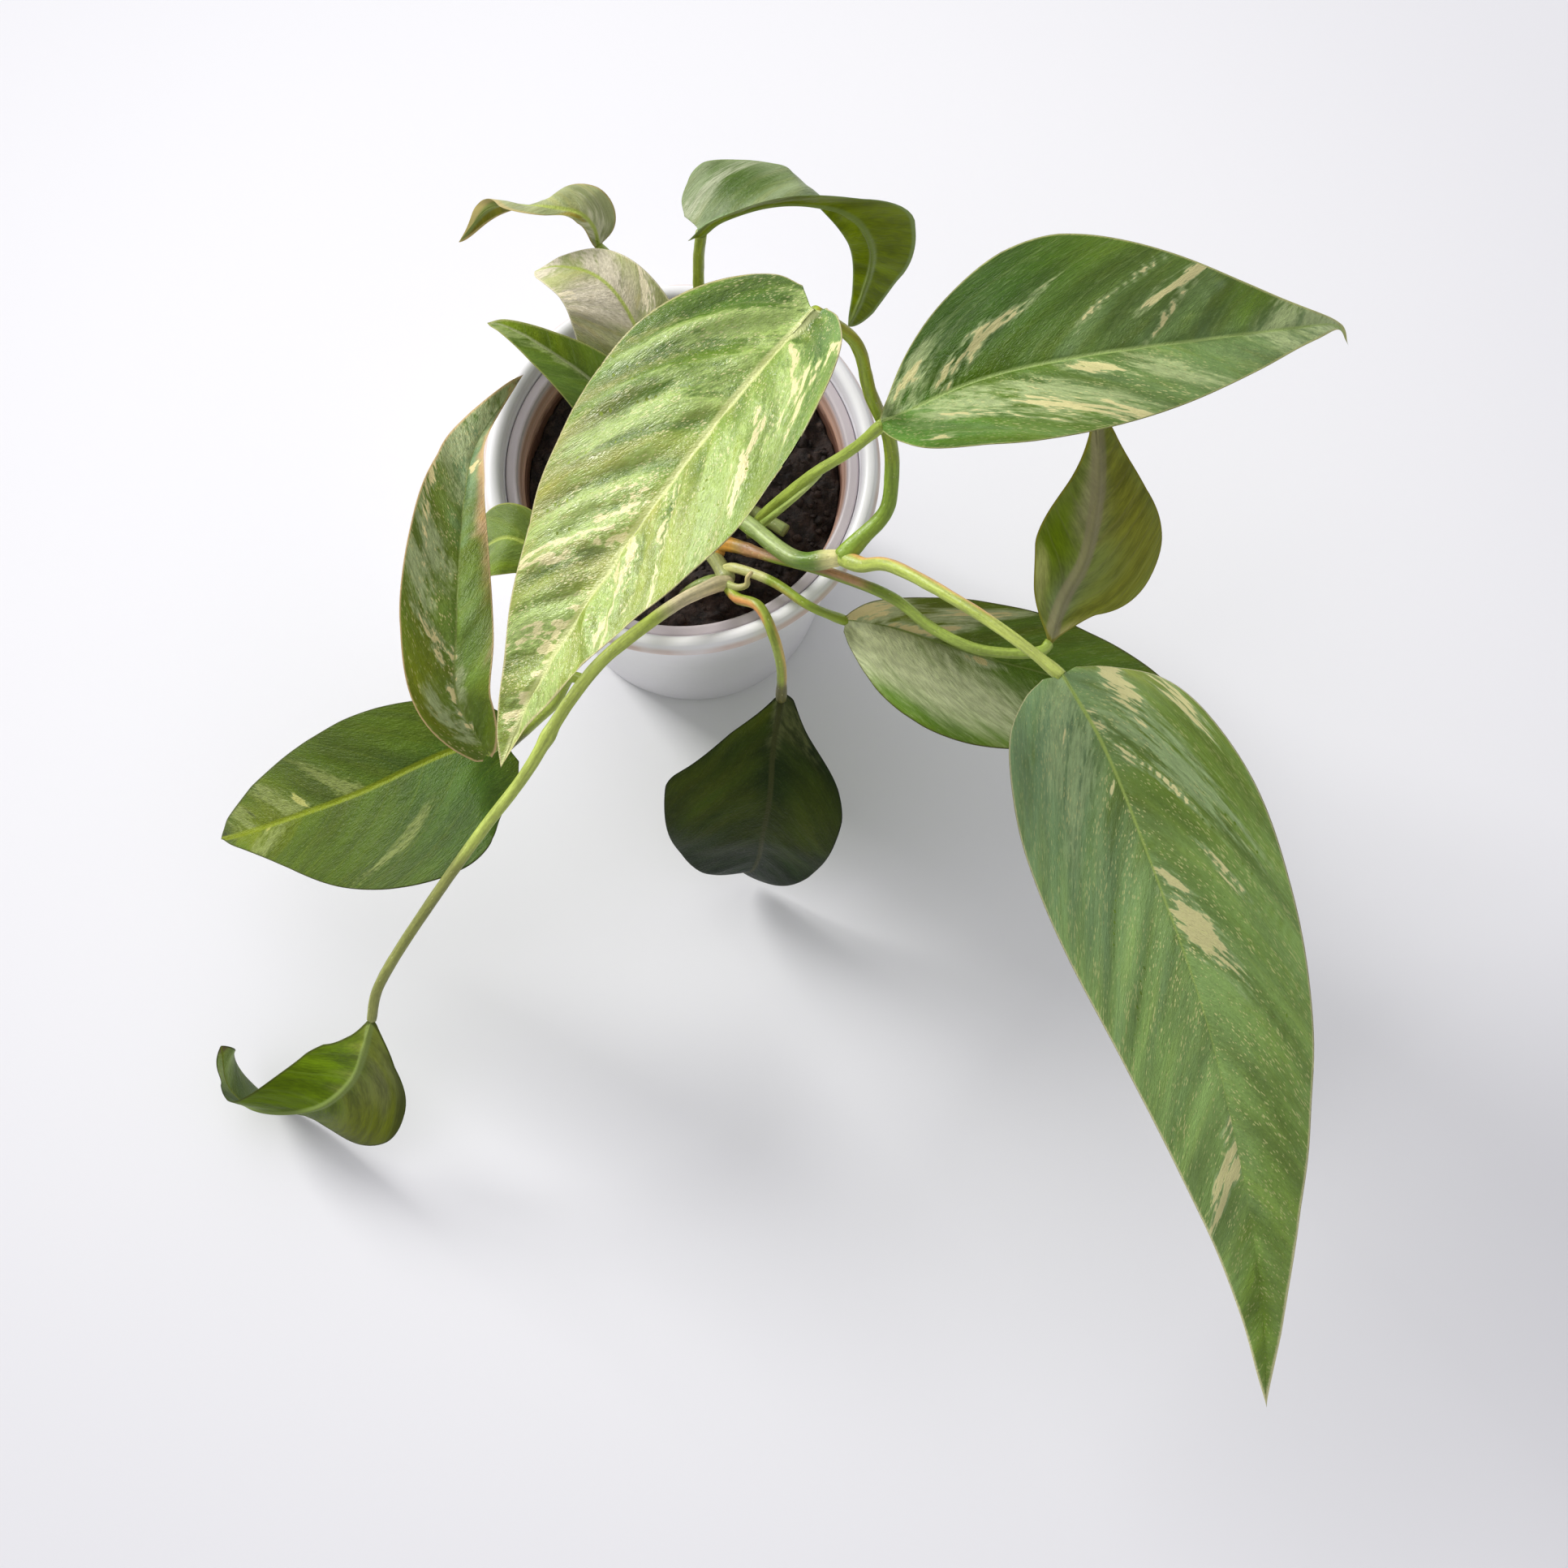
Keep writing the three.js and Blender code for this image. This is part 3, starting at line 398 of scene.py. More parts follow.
def spline(points, share):
    """The smooth curve through points at each share of its count of points, from 0 to 1."""
    p = np.asarray(points, float)
    spans = len(p) - 1
    p = np.vstack([2 * p[0] - p[1], p, 2 * p[-1] - p[-2]])
    place = np.clip(share, 0, 1) * spans
    i = np.minimum(place.astype(int), spans - 1)
    u = (place - i)[:, None]
    a, b, c, d = p[i], p[i + 1], p[i + 2], p[i + 3]
    return 0.5 * (2 * b + (c - a) * u + (2 * a - 5 * b + 4 * c - d) * u**2 + (3 * b - a - 3 * c + d) * u**3)


def route(points, share):
    """Points and directions at shares of the curve's length, and that length."""
    fine = np.linspace(0, 1, 401)
    walked = np.r_[0, np.cumsum(np.linalg.norm(np.diff(spline(points, fine), axis=0), axis=1))]
    length = walked[-1]

    def at(s):
        return spline(points, np.interp(np.clip(s, 0, 1) * length, walked, fine))

    return at(share), unit(at(share + 1e-3) - at(share - 1e-3)), length


def lattice(i, j, k):
    """A fixed pseudo-random number from 0 to 1 for each whole point."""
    n = (i * 73856093) ^ (j * 19349663) ^ (k * 83492791)
    n = (n ^ (n >> 13)) * 1274126177 & 0xFFFFFFFF
    return ((n ^ (n >> 16)) & 0xFFFF) / 0xFFFF


def bumps(points, octaves=1):
    """Smooth noise from -1 to 1 with cells of unit size, and finer noise added octave by octave."""
    total = 0
    for octave in range(octaves):
        p = points * 2.0**octave + 17.3 * octave
        whole = np.floor(p).astype(np.int64)
        f = p - whole
        f = f * f * (3 - 2 * f)
        value = 0
        for corner in range(8):
            step = np.array([corner & 1, corner >> 1 & 1, corner >> 2 & 1])
            weight = np.prod(np.where(step, f, 1 - f), axis=-1)
            value = value + weight * lattice(*np.moveaxis(whole + step, -1, 0))
        total = total + (2 * value - 1) / 2.0**octave
    return total


def ease(x, low, high):
    t = np.clip((x - low) / (high - low), 0, 1)
    return t * t * (3 - 2 * t)


def add_mesh(name, vertices, faces, materials, face_slots=None, vectors=None, colours=None):
    """A smooth-shaded piece on the plant's one body, from points in millimetres."""
    mesh = bpy.data.meshes.new(name)
    mesh.from_pydata((np.asarray(vertices) * MM).tolist(), [], faces)
    for key, value in (vectors or {}).items():
        made = mesh.attributes.new(key, "FLOAT_VECTOR", "POINT")
        made.data.foreach_set("vector", np.asarray(value, np.float32).ravel())
    for key, value in (colours or {}).items():
        rgba = np.concatenate([value, np.ones((len(value), 1))], axis=1)
        made = mesh.attributes.new(key, "FLOAT_COLOR", "POINT")
        made.data.foreach_set("color", rgba.astype(np.float32).ravel())
    for material in materials:
        mesh.materials.append(material)
    if face_slots is not None:
        mesh.polygons.foreach_set("material_index", np.asarray(face_slots, np.int32))
    mesh.shade_smooth()
    mesh.validate()
    piece = bpy.data.objects.new(name, mesh)
    bpy.context.collection.objects.link(piece)
    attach(piece, BODY)
    return piece


def closed_faces(rings, sides):
    """Faces round rings of points, closed by two more points, inside the first and the last ring."""
    faces = []
    first, last = rings * sides, rings * sides + 1
    for k in range(sides):
        m = (k + 1) % sides
        faces += [[i + k, i + m, i + sides + m, i + sides + k] for i in range(0, first - sides, sides)]
        faces += [[first, m, k], [last, first - sides + k, first - sides + m]]
    return faces


class Nodes:
    """A material's node tree, written as calls that return sockets."""

    def __init__(self, name):
        self.material = bpy.data.materials.new(name)
        self.material.use_nodes = True
        self.tree = self.material.node_tree
        self.shader = self.tree.nodes["Principled BSDF"]

    def put(self, socket, value):
        if isinstance(value, bpy.types.NodeSocket):
            self.tree.links.new(value, socket)
        elif socket.type == "RGBA":
            socket.default_value = (*value, 1)
        else:
            socket.default_value = value

    def new(self, kind, **settings):
        node = self.tree.nodes.new(kind)
        for key, value in settings.items():
            setattr(node, key, value)
        return node

    def attribute(self, name, output="Vector"):
        return self.new("ShaderNodeAttribute", attribute_name=name).outputs[output]

    def place(self):
        return self.new("ShaderNodeTexCoord").outputs["Object"]

    def split(self, vector):
        node = self.new("ShaderNodeSeparateXYZ")
        self.put(node.inputs[0], vector)
        return list(node.outputs)

    def math(self, operation, *values):
        node = self.new("ShaderNodeMath", operation=operation)
        for socket, value in zip(node.inputs, values):
            self.put(socket, value)
        return node.outputs[0]

    def plus(self, a, b):
        return self.math("ADD", a, b)

    def minus(self, a, b):
        return self.math("SUBTRACT", a, b)

    def times(self, a, b):
        return self.math("MULTIPLY", a, b)

    def times_plus(self, a, b, c):
        """a times b, plus c."""
        return self.math("MULTIPLY_ADD", a, b, c)

    def distance(self, x, y):
        return self.math("SQRT", self.plus(self.times(x, x), self.times(y, y)))

    def off_whole(self, value):
        """How far a value is from the nearest whole number."""
        return self.math("ABSOLUTE", self.minus(self.math("FRACT", self.plus(value, 0.5)), 0.5))

    def stretch(self, vector, scale, shift=(0, 0, 0)):
        node = self.new("ShaderNodeMapping")
        self.put(node.inputs["Vector"], vector)
        node.inputs["Scale"].default_value = scale
        node.inputs["Location"].default_value = shift
        return node.outputs[0]

    def noise(self, vector, scale=1.0, detail=2.0, rough=0.5):
        node = self.new("ShaderNodeTexNoise")
        self.put(node.inputs["Vector"], vector)
        node.inputs["Scale"].default_value = scale
        node.inputs["Detail"].default_value = detail
        node.inputs["Roughness"].default_value = rough
        return node.outputs["Fac"]

    def cells(self, vector):
        """Distance to the nearest of scattered points, about one to each unit cell."""
        node = self.new("ShaderNodeTexVoronoi")
        self.put(node.inputs["Vector"], vector)
        node.inputs["Scale"].default_value = 1
        return node.outputs["Distance"]

    def ease(self, value, low, high, out_low=0.0, out_high=1.0):
        node = self.new("ShaderNodeMapRange", interpolation_type="SMOOTHSTEP")
        for socket, number in zip(node.inputs, (value, low, high, out_low, out_high)):
            self.put(socket, number)
        return node.outputs[0]

    def mix(self, share, a, b, blend="MIX"):
        node = self.new("ShaderNodeMix", data_type="RGBA", blend_type=blend)
        self.put(node.inputs[0], share)
        self.put(node.inputs[6], a)
        self.put(node.inputs[7], b)
        return node.outputs[2]

    def scaled(self, colour, factor):
        """A colour times a grey factor."""
        node = self.new("ShaderNodeVectorMath", operation="SCALE")
        self.put(node.inputs[0], colour)
        self.put(node.inputs["Scale"], factor)
        return node.outputs[0]

    def bump(self, height, distance, strength):
        node = self.new("ShaderNodeBump")
        node.inputs["Strength"].default_value = strength
        node.inputs["Distance"].default_value = distance
        self.put(node.inputs["Height"], height)
        return node.outputs[0]

    def finish(self, colour, roughness, normal=None, specular=0.5):
        self.put(self.shader.inputs["Base Color"], colour)
        self.put(self.shader.inputs["Roughness"], roughness)
        if normal is not None:
            self.put(self.shader.inputs["Normal"], normal)
        self.shader.inputs["Specular IOR Level"].default_value = specular
        return self.material


def upper_material(name, look):
    """A blade's upper skin: soft tints, speckles, cream and pale marbling along the side veins, and painted
    sheen.
    """
    n = Nodes(name)
    flow = n.attribute("flow")
    cream, pale, speckle = n.split(n.attribute("patch"))
    rib, margin, vein = n.split(n.attribute("place"))
    rib_colour, rib_width = paint(look["rib"]), look["rib_width"]

    comb = look["comb"]
    broad = n.noise(n.stretch(flow, (0.3, comb * 0.25, 1)), detail=3)
    streaks = n.noise(n.stretch(flow, (0.9, comb, 1), (5, 3, 0)), detail=3)
    fine = n.noise(n.stretch(flow, (2.8, 1.3, 1), (2, 8, 0)), rough=0.7)
    cloudy = n.noise(n.stretch(flow, (0.1, 0.05, 1), (9, 1, 0)), detail=3)
    grainy = n.times(n.minus(streaks, 0.5), look["grain"])
    ragged = n.times_plus(n.minus(broad, 0.5), look["breakup"], grainy)

    lightness = n.ease(n.times_plus(streaks, 0.35, cloudy), 0.42, 0.94, 0.76, 1.28)
    green = n.scaled(n.attribute("tint", "Color"), lightness)
    sunlit = n.mix(1.0, green, (1.22, 1.06, 0.6), "MULTIPLY")
    colour = n.mix(n.ease(broad, 0.45, 0.65, 0, look["warm"]), green, sunlit)
    pale_colour = n.scaled(paint(look["pale_colour"]), n.ease(streaks, 0.3, 0.7, 0.84, 1.16))
    # The pale patches hold pale marbling and also painted sheen and painted highlights.
    marbling_and_sheen = n.ease(n.times(pale, n.times_plus(ragged, 0.8, 0.8)), 0.22, 0.7, 0, 0.85)
    colour = n.mix(marbling_and_sheen, colour, pale_colour)
    flecks = n.ease(n.times_plus(fine, 0.7, n.times(streaks, 0.6)), 0.68, 0.84, 0, 0.16)
    colour = n.mix(flecks, colour, pale_colour)
    soaked = n.times(cream, n.plus(ragged, look["solid"]))
    colour = n.mix(n.ease(soaked, 0.26, 0.5, 0, 0.6), colour, pale_colour)
    cream_colour = n.scaled(paint(look["cream_colour"]), n.ease(cloudy, 0.3, 0.7, 0.86, 1.06))
    colour = n.mix(n.ease(soaked, 0.48, 0.56, 0, 0.9), colour, cream_colour)

    crowd = n.noise(n.stretch(flow, (0.22, 0.08, 1), (4, 4, 0)))
    dots = n.minus(n.cells(n.stretch(flow, (1.3, 0.95, 1))), n.ease(crowd, 0.35, 0.65, 0.02, 0.2))
    dotted = n.times(n.ease(dots, 0.04, 0.18, 1, 0), n.times(speckle, 0.85))
    colour = n.mix(dotted, colour, n.mix(0.3, paint(look["cream_colour"]), rib_colour))

    colour = n.mix(n.ease(n.off_whole(vein), 0.0, 0.06, look["vein_line"], 0), colour, rib_colour)
    ribbed = n.ease(n.plus(rib, n.times(fine, 0.25)), rib_width * 0.6, rib_width + 0.2, 0.9, 0)
    colour = n.mix(ribbed, colour, rib_colour)
    edged = n.ease(n.times_plus(fine, 0.5, margin), 0.4, 0.75, 0.9, 0)
    colour = n.mix(edged, colour, paint(look["margin"]))

    pores = n.cells(n.stretch(flow, (2.0, 1.7, 1)))
    height = n.times_plus(pores, 0.5, n.plus(fine, n.times(streaks, 1.6)))
    gloss = n.ease(fine, 0.3, 0.7, look["gloss"] - 0.06, look["gloss"] + 0.1)
    return n.finish(colour, gloss, n.bump(height, 0.0003, 0.7), look["shine"])


def under_material(name, look):
    """A blade's lower skin: paler, duller and with raised veins."""
    n = Nodes(name)
    flow = n.attribute("flow")
    rib, margin, vein = n.split(n.attribute("place"))
    rib_colour, rib_width = paint(look["under_rib"]), look["rib_width"]
    fine = n.noise(n.stretch(flow, (1.3, 0.5, 1)), detail=3)
    cloudy = n.noise(n.stretch(flow, (0.2, 0.07, 1), (3, 7, 0)), detail=3)
    lightness = n.ease(n.times_plus(fine, 0.5, cloudy), 0.5, 1.0, 0.7, 1.35)
    colour = n.scaled(n.attribute("tint", "Color"), lightness)
    colour = n.mix(n.ease(n.off_whole(vein), 0.0, 0.08, look["vein_line"], 0), colour, rib_colour)
    colour = n.mix(n.ease(rib, rib_width * 0.8, rib_width + 0.6, 0.75, 0), colour, rib_colour)
    colour = n.mix(n.ease(margin, 0.3, 0.7, 0.8, 0), colour, paint(look["margin"]))
    height = n.times_plus(cloudy, 1.5, fine)
    return n.finish(colour, n.ease(fine, 0.3, 0.7, 0.38, 0.5), n.bump(height, 0.0003, 0.5), 0.08)


def stem_material():
    """Stem skin: painted tints with some painted highlights on top and painted shade below, streaks along it
    and small pale warts.
    """
    n = Nodes("stem_skin")
    flow = n.attribute("flow")
    streaks = n.noise(n.stretch(flow, (0.12, 1.3, 1)), detail=3)
    fine = n.noise(n.stretch(flow, (1.1, 1.3, 1), (3, 1, 0)), detail=3)
    lightness = n.ease(n.times_plus(fine, 0.4, streaks), 0.4, 1.0, 0.72, 1.28)
    colour = n.scaled(n.attribute("tint", "Color"), lightness)
    warts = n.cells(n.stretch(flow, (0.45, 0.75, 1)))
    colour = n.mix(n.ease(warts, 0.05, 0.16, 0.45, 0), colour, linear((214, 216, 150)))
    height = n.minus(n.plus(fine, streaks), n.ease(warts, 0.05, 0.25, 0.6, 0))
    return n.finish(colour, n.ease(fine, 0.3, 0.7, 0.34, 0.5), n.bump(height, 0.0002, 0.6))


def patch_share(row, across, flow, reach, length, patches):
    """How far each vertex lies inside the patches, whose long side runs with the side veins.

    It is 1 in a patch's middle, a half at its stated reach and 0 at twice that.
    """
    share = np.zeros_like(row)
    for patch in patches:
        row_0, across_0, reach_row, reach_across = np.array(patch) / 100
        i = round(row_0 * (len(row) - 1))
        j = np.abs(across[0] - across_0).argmin()
        along = (flow[..., 0] - flow[i, j, 0]) / (reach_row * length)
        outward = (flow[..., 1] - flow[i, j, 1]) / (reach_across * reach.max() * FLOW_WIDTH)
        inside = np.clip(1 - 0.5 * np.hypot(along, outward), 0, 1)
        same_half = (across * across_0 >= 0) | (abs(across_0) < 0.1)
        share = np.maximum(share, inside * same_half)
    return share


def tinted(base, row, across, tints, flow):
    """The base colour with soft tints laid over it, as linear numbers."""
    colour = np.broadcast_to(paint(base), (*row.shape, 3)).copy()
    stir = 1 + 0.7 * bumps(flow * [0.25, 0.06, 1], 3)
    for *spot, tint in tints:
        row_0, across_0, reach_row, reach_across = np.array(spot) / 100
        far = ((row - row_0) / reach_row) ** 2 + ((across - across_0) / reach_across) ** 2
        share = np.exp(-0.7 * (far * stir) ** 1.5)[..., None]
        colour = colour * (1 - share) + paint(tint) * share
    return colour


def blade_surface(blade):
    """The blade's middle surface. Arrays run from the stalk to the tip and from the left edge to the right."""
    outline = spline(OUTLINE, np.linspace(0, 1, BLADE_ROWS + 1))
    leave, end, wide = outline[:, 0], outline[:, 1], np.maximum(outline[:, 2], 0)
    mean_shift = sum(blade["shift"]) / 2
    station = np.clip(leave + mean_shift * leave * (1 - leave), 0, 1)
    middle, ahead, length = route(blade["midrib"], station)
    facing = spline(blade["facing"], station)
    up = unit(facing - ahead * (facing * ahead).sum(-1, keepdims=True))
    # Columns stand closer at the midrib, and the last one is close inside the edge.
    spread = np.linspace(0, 1, BLADE_HALF_COLUMNS + 1) ** 1.35 * 0.985
    spread = np.r_[spread, 1.0]

    halves = {}
    for half, side in ((0, 1), (1, -1)):
        sideways = np.cross(ahead, up) * side
        narrow = 1 - blade["wedge"][half] * np.clip(1 - leave / 0.3, 0, 1) ** 1.5
        reach = wide ** blade["taper"][half] * narrow * blade["half_width"][half]
        back = np.where(end < leave, leave + (end - leave) * blade["lobe"][half], end)
        forward = back + blade["shift"][half] * np.maximum(0, back) * (1 - back) - station
        fold = np.radians(np.interp(station, [0, 1], blade["fold"][half]))[:, None]
        curl = np.radians(blade["curl"][half] or 0.01)
        turned = fold + curl * spread
        height, waves, phase = blade["wave"]
        ripple = height * np.sin(2 * np.pi * waves * station + phase + (0 if side > 0 else 2.1))
        ripple = (ripple * np.minimum(1, wide * 2.5))[:, None] * spread**2
        out = reach[:, None] * (np.sin(turned) - np.sin(fold)) / curl
        rise = reach[:, None] * (np.cos(fold) - np.cos(turned)) / curl + ripple
        point = (middle[:, None] + ahead[:, None] * ((forward * length)[:, None] * spread**1.3)[..., None]
                 + sideways[:, None] * out[..., None] + up[:, None] * rise[..., None])
        upper = up[:, None] * np.cos(turned)[..., None] - sideways[:, None] * np.sin(turned)[..., None]
        upper[:, 0] = up
        run = (station[:, None] + forward[:, None] * spread**1.3) * length
        halves[side] = (point, upper, reach, run)

    def both(k):
        return np.concatenate([halves[-1][k][:, ::-1], halves[1][k][:, 1:]], axis=1)

    across = np.r_[-spread[::-1], spread[1:]]
    reach = np.where(across < 0, halves[-1][2][:, None], halves[1][2][:, None])
    return both(0), both(1), reach, across + 0 * reach, wide[:, None], station[:, None], both(3), length


def skins(point, upper, across, reach, wide, station, run):
    """Both skins' points: thin at the edge, with a groove over the midrib and a ridge under it."""
    side_mm = across * reach
    rib_radius = RIB_START + (RIB_END - RIB_START) * station**0.6
    bulge = np.exp(-((side_mm / rib_radius) ** 2)) * rib_radius
    thin = 0.16 * np.sqrt(np.clip(1 - np.abs(across) ** 8, 0, 1))
    small = np.clip(reach / 2.5, 0, 1)
    base = np.exp(-((run / 7.0) ** 2))
    groove = 0.3 * np.exp(-((side_mm / 0.7) ** 2)) * (1 - base) * np.clip(wide, 0, 1)
    above = (thin + bulge * (0.05 + 0.85 * base) - groove) * small
    below = (thin + bulge * 0.85) * small
    return point + upper * above[..., None], point - upper * below[..., None]


def blade_faces(rows, columns):
    """Faces of both skins and the tip, and each one's material: 0 for the upper skin, 1 for the lower.

    Upper vertices come first, then the lower ones without the shared edges, then the tip.
    """
    top = np.arange(rows * columns).reshape(rows, columns)
    bottom = top.copy()
    bottom[:, 1:-1] = rows * columns + np.arange(rows * (columns - 2)).reshape(rows, columns - 2)
    tip = rows * (2 * columns - 2)
    faces, slots = [], []
    for j in range(columns - 1):
        front = [top[0, j], bottom[0, j], bottom[0, j + 1], top[0, j + 1]]
        faces.append([v for k, v in enumerate(front) if v not in front[:k]])
        faces += [[top[-1, j], top[-1, j + 1], tip], [bottom[-1, j + 1], bottom[-1, j], tip]]
        slots += [1, 0, 1]
        for i in range(rows - 1):
            faces.append([top[i, j], top[i, j + 1], top[i + 1, j + 1], top[i + 1, j]])
            faces.append([bottom[i, j + 1], bottom[i, j], bottom[i + 1, j], bottom[i + 1, j + 1]])
            slots += [0, 1]
    return faces, slots


def gathered(above, below=None):
    """A grid's values in the order of the blade's vertices."""
    below = above if below is None else below
    inner = below[:-1, 1:-1]
    middle = above.shape[1] // 2
    grids = (above[:-1], inner, above[-1:, middle])
    return np.concatenate([grid.reshape(-1, *above.shape[2:]) for grid in grids])


def build_blade(index, name):
    blade, look = {**PLAIN_BLADE, **BLADES[name]}, {**PLAIN_LOOK, **LOOKS[name]}
    point, upper, reach, across, wide, station, run, length = blade_surface(blade)
    row = np.linspace(0, 1, BLADE_ROWS + 1)[:, None] + 0 * across
    side_mm = across * reach
    # The side veins leave the midrib slanting and bend on towards the tip.
    slant = np.abs(side_mm) * (0.6 + 0.7 * np.abs(side_mm) / reach.max())
    flow = [run - look["sweep"] * slant, side_mm * FLOW_WIDTH, np.full_like(row, 7.0 * index)]
    flow = np.stack(flow, axis=-1)
    phase = flow[..., 0] / length * look["veins"] + 0.35 * bumps(flow * [0.04, 0.03, 1])
    phase += np.where(across < 0, 0.0, 0.45)

    # The skin swells between the side veins and is creased along them.
    vein = np.abs(phase - np.round(phase)) * 2
    open_area = np.clip(np.abs(across) * 5, 0, 1) * (1 - np.abs(across) ** 5) * np.clip(wide * 2.2, 0, 1)
    uneven = 0.65 + 0.6 * bumps(flow * [0.03, 0.03, 1] + 8.1)
    edge_area = np.clip(wide * 2, 0, 1) * across**2
    relief = look["quilt"] * uneven * (vein**0.75 - 0.6) * open_area
    relief += look["crumple"] * bumps(flow * [0.2, 0.08, 1], 3) * open_area
    relief += look["crumple"] * 1.2 * bumps(flow * [0.05, 0.05, 1] + 3.3) * edge_area
    point = point + upper * relief[..., None]
    vertices = gathered(*skins(point, upper, across, reach, wide, station, run))
    low, high = (np.array(c) / MM for c in CAD_BOX)
    vertices = np.clip(vertices, low + INSIDE_BOX, high - INSIDE_BOX)

    kinds = ("cream", "pale", "speckle")
    patch = np.stack([patch_share(row, across, flow, reach, length, look[kind]) for kind in kinds], axis=-1)
    # The swells between the side veins get more of the pale colour: a painted highlight.
    patch[..., 1] += look["painted_pillow_highlight"] * vein**1.5 * open_area
    # Darker, more saturated green in the creases along the side veins is painted shade.
    blotchy = np.clip(0.7 + 0.9 * bumps(flow * [0.06, 0.05, 1] + 5), 0, 1)
    painted_crease_shade = (look["painted_crease_shade"] * (1 - vein) ** 1.3 * open_area * blotchy)[..., None]
    from_rib = np.abs(side_mm) + row * look["rib_fade"]
    place = np.stack([from_rib, (1 - np.abs(across)) * reach, phase], axis=-1)
    tint = tinted(look["base"], row, across, look["tints"], flow)
    tint = tint * (1 - painted_crease_shade) + paint(look["painted_crease_shade_colour"]) * painted_crease_shade
    under = tinted(look["under"], row, across, look["under_tints"], flow)

    materials = [upper_material(name + "_upper", look), under_material(name + "_under", look)]
    faces, slots = blade_faces(BLADE_ROWS, across.shape[1])
    vectors = {"flow": gathered(flow), "place": gathered(place), "patch": gathered(patch)}
    piece = add_mesh("blade_" + name, vertices, faces, materials, slots, vectors,
                     {"tint": gathered(tint, under)})
    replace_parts(piece, "leaf_" + name)


def tube(points, radii, swellings=(), sides=20, pitch=0.8, flat_end=False):
    """A round stem along a curve: vertices, faces, and each vertex's share of the length, side and flow."""
    length = route(points, np.array([0.0]))[2]
    rings = max(12, round(length / pitch))
    share = np.linspace(0, 1, rings + 1)
    centre, ahead, length = route(points, share)
    across = np.cross(ahead[0], [0, 0, 1] if abs(ahead[0, 2]) < 0.9 else [0, 1, 0])
    frames = []
    for direction in ahead:
        across = unit(across - direction * (across @ direction))
        frames.append(across)
    frames = np.array(frames)
    other = np.cross(ahead, frames)
    radius = np.interp(share, [0, 1], radii)
    for place, growth, width in swellings:
        radius = radius + growth * np.exp(-(((share - place) / width) ** 2))
    if not flat_end:
        before_end = (1 - share) * length / (radii[1] * 0.9)
        radius = radius * np.sqrt(np.clip(1 - np.clip(1 - before_end, 0, 1) ** 2, 0.02, 1))
    angle = np.linspace(0, 2 * np.pi, sides, endpoint=False)
    spoke = frames[:, None] * np.cos(angle)[:, None] + other[:, None] * np.sin(angle)[:, None]
    places = np.stack(np.broadcast_arrays(share[:, None] * length, angle[None] * radii[0], length), axis=-1)
    radius = radius[:, None] * (1 + 0.05 * bumps(places * [0.25, 0.8, 1], 2))
    shell = centre[:, None] + spoke * radius[..., None]
    vertices = np.concatenate([shell.reshape(-1, 3), centre[:1], centre[-1:]])
    spokes = np.concatenate([spoke.reshape(-1, 3), -ahead[:1], ahead[-1:]])
    flow = np.concatenate([places.reshape(-1, 3), places[0, :1], places[-1, :1]])
    shares = np.concatenate([np.repeat(share, sides), [0, 1]])
    return vertices, closed_faces(rings + 1, sides), shares, spokes, flow


def build_stem(index, name, material):
    points, radii = STEMS[name]
    points = ([ROOTS[name]] if name in ROOTS else []) + points
    made = tube(points, radii, SWELLINGS.get(name, ()), flat_end=not name.startswith("vine"))
    vertices, faces, shares, spokes, flow = made
    base, bands = STEM_LOOKS.get(name, PLAIN_STEM)
    colour = np.broadcast_to(paint(base), vertices.shape).copy()
    for start, end, side, tint in bands:
        share = np.ones_like(shares)
        if start > 0:
            share = share * ease(shares, start - BAND_BLUR, start + BAND_BLUR)
        if end < 1:
            share = share * (1 - ease(shares, end - BAND_BLUR, end + BAND_BLUR))
        # A lighter green band on the upper flank is a painted highlight, and a darker green band on the lower
        # flank is painted shade.
        if side != "all":
            share = share * ease(spokes @ np.array(SIDES[side], float), 0.3, 0.85)
        colour = colour * (1 - share[:, None]) + paint(tint) * share[:, None]
    buried = (1 - ease(vertices[:, 2], SOIL_LEVEL - 1, SOIL_LEVEL + 4))[:, None] * 0.6
    colour = colour * (1 - buried) + linear((92, 78, 56)) * buried
    piece = add_mesh("stem_" + name, vertices, faces, [material],
                     vectors={"flow": flow + [0, 0, 5.0 * index]}, colours={"tint": colour})
    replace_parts(piece, name)


def build_sheath(index, name, material):
    points, radii, colour, far_colour = SHEATHS[name]
    vertices, faces, shares, _, flow = tube(points, radii, sides=14, pitch=0.4)
    mixed = linear(colour) * (1 - shares[:, None]) + linear(far_colour) * shares[:, None]
    add_mesh(name, vertices, faces, [material],
             vectors={"flow": flow + [0, 0, 90.0 + index]}, colours={"tint": mixed})


def lathe(name, profile, material):
    """A closed profile of [radius, height] points, from the axis out and back to it, turned about +Z."""
    profile = np.asarray(profile, float)
    points = profile[1:-1]
    angle = np.linspace(0, 2 * np.pi, LATHE_STEPS, endpoint=False)
    rings = np.stack([points[:, :1] * np.cos(angle), points[:, :1] * np.sin(angle),
                      points[:, 1:] + 0 * angle], axis=-1)
    vertices = np.concatenate([rings.reshape(-1, 3), [[0, 0, profile[0, 1]], [0, 0, profile[-1, 1]]]])
    return add_mesh(name, vertices, closed_faces(len(points), LATHE_STEPS), [material])


def bend(centre, radius, start, end, count=8):
    """Points of an arc of a profile, with angles in degrees from outwards towards up."""
    turn = np.radians(np.linspace(start, end, count))
    return [[centre[0] + radius * math.cos(t), centre[1] + radius * math.sin(t)] for t in turn]


